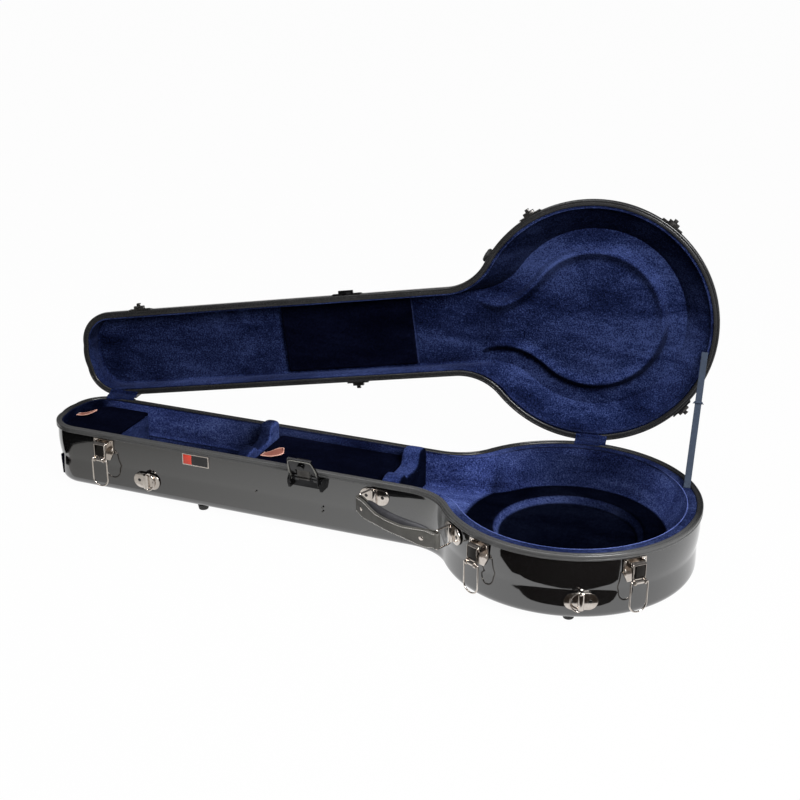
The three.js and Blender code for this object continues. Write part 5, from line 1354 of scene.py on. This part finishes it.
# Badge: a bare black field and a red third inside the pale frame
BADGE_X, BADGE_Z, BADGE_HALF = -620.54, 98.3, 8.5
for name, x0, x1, paint in (("badge_red_third", -23.0, -7.6, RED),
                            ("badge_field", -7.4, 23.0, ENAMEL)):
    outline = [Vector((x0, -BADGE_HALF)), Vector((x1, -BADGE_HALF)), Vector((x1, BADGE_HALF)),
               Vector((x0, BADGE_HALF))]
    fit(merge(name, [slab(outline, -1.3, -0.75, 0.2, (0, BADGE_Z))], paint,
              BASE @ on_front(BADGE_X)), "case_base")

# Small screws through the front wall
screws = [moved(dome(0, -2.9, z, 1.6, 0.6), on_front(x))
          for x, z in ((-510.7, 60.8), (-390.3, 54.1), (-390.3, 46.9))]
fit(merge("front_wall_screws", screws, DARK_STEEL), "case_base")


# Camera, as fitted to the photograph
AZIMUTH, ELEVATION, ROLL = 0.37610015, 0.38872666, 0.00492128
FOCAL_PIXELS, PHOTO_PIXELS, SENSOR = 1445.788, 800, 36
CAMERA_PLACE = Vector((498.8, -1985.1, 1105.1))


def make_camera():
    forward = Vector((-math.sin(AZIMUTH) * math.cos(ELEVATION),
                      math.cos(AZIMUTH) * math.cos(ELEVATION), -math.sin(ELEVATION)))
    right = Vector((math.cos(AZIMUTH), math.sin(AZIMUTH), 0))
    up = right.cross(forward)
    c, s = math.cos(ROLL), math.sin(ROLL)
    right, up = c * right + s * up, c * up - s * right
    data = bpy.data.cameras.new("camera")
    data.sensor_width = SENSOR
    data.lens = FOCAL_PIXELS / PHOTO_PIXELS * SENSOR
    data.clip_start, data.clip_end = 0.05, 50
    camera = bpy.data.objects.new("camera", data)
    COLLECTION.objects.link(camera)
    turn = Matrix((right, up, -forward)).transposed().to_4x4()
    camera.matrix_world = Matrix.Translation(BASE @ CAMERA_PLACE) @ turn
    bpy.context.scene.camera = camera


make_camera()

# Studio
FLOOR_SIZE, FLOOR_LEVEL, FLOOR_WHITE, CARD_LEVEL = 30, -0.0004, 0.978, 0.0012


def make_floor():
    """Nearly plain white to the eye and in reflections, with a soft shadow kept."""
    bpy.ops.mesh.primitive_plane_add(size=FLOOR_SIZE, location=(0, 0, FLOOR_LEVEL))
    floor = bpy.context.object
    floor.name = "floor"
    made = material("floor_white", (0.5, 0.5, 0.5), 0.9)
    rays = add(made, "ShaderNodeLightPath").outputs
    seen = most(made, *[rays[f"Is {kind} Ray"] for kind in ("Camera", "Glossy", "Transmission")])
    glow = add(made, "ShaderNodeEmission", Color=(1, 1, 1, 1), Strength=1.0)
    shaders = made.node_tree.nodes
    blend = add(made, "ShaderNodeMixShader")
    for socket, value in zip(blend.inputs, (times(made, seen, FLOOR_WHITE),
                                            shaders["Principled BSDF"].outputs[0],
                                            glow.outputs[0])):
        feed(made, socket, value)
    feed(made, shaders["Material Output"].inputs["Surface"], blend.outputs[0])
    floor.data.materials.append(made)


make_floor()


def area_light(name, place, target, size, power):
    data = bpy.data.lights.new(name, "AREA")
    data.shape = "RECTANGLE"
    data.size, data.size_y = size
    data.energy = power
    lamp = bpy.data.objects.new(name, data)
    lamp.location = place
    lamp.rotation_euler = (Vector(target) - Vector(place)).to_track_quat("-Z", "Y").to_euler()
    COLLECTION.objects.link(lamp)


area_light("key_light", (1.75, -1.35, 1.75), (0.2, 0.05, 0.15), (1.1, 1.0), 105)
area_light("top_light", (-0.3, -0.5, 2.3), (-0.1, 0.1, 0.1), (1.6, 0.9), 26)


def card(name, outline, start, end, start_tone, end_tone):
    """A flat card on the floor that only reflections see, shaded along X."""
    mesh = bpy.data.meshes.new(name)
    mesh.from_pydata([Vector(((x + SHIFT.x) / 1000, (y + SHIFT.y) / 1000, CARD_LEVEL))
                      for x, y in outline], [], [list(range(len(outline)))])
    sheet = bpy.data.objects.new(name, mesh)
    made = material(name, (0, 0, 0), 1, specular_ior_level=0)
    along = span(made, axes(made, coords(made))["X"], 0, 1, start, end)
    wire_up(made, Emission_Color=ramp(made, along, (0.0, start_tone), (1.0, end_tone)),
            Emission_Strength=1)
    mesh.materials.append(made)
    COLLECTION.objects.link(sheet)
    sheet.visible_camera = sheet.visible_diffuse = sheet.visible_shadow = False


card("front_card", [(-86, -279), (-198, -352), (-520, -690), (-2300, -2600), (2600, -2600),
                    (2600, -1455), (822, -550), (300, -262), (207, -207), (169, -209),
                    (142, -217), (78, -245), (33, -257), (-16, -265), (-58, -282)],
     -0.2, 0.9, 0.004, (0.05, 0.04, 0.033))
card("left_card", [(-3000, -60), (-985, -60), (-972, -110), (-985, -2600), (-3000, -2600)],
     -2.0, 0.0, 0.01, 0.01)
card("neck_card", [(-984, -100), (-300, -100), (-300, -330), (-620, -900), (-984, -900)],
     -0.62, 0.05, (0.5, 0.49, 0.47), (0.98, 0.98, 0.97))

# Surroundings: white to the camera, dark to everything else
scene = bpy.context.scene
scene.view_settings.view_transform = "Standard"
world = bpy.data.worlds.new("studio")
scene.world = world
world.use_nodes = True
height = axes(world, coords(world, "Generated"))["Z"]
sky = add(world, "ShaderNodeMix", {"data_type": "RGBA"},
          Factor=add(world, "ShaderNodeLightPath").outputs["Is Camera Ray"],
          A=ramp(world, height, (0.0, 0.02), (0.8, (0.14, 0.14, 0.145))), B=(1, 1, 1, 1))
feed(world, world.node_tree.nodes["Background"].inputs["Color"], sky.outputs["Result"])
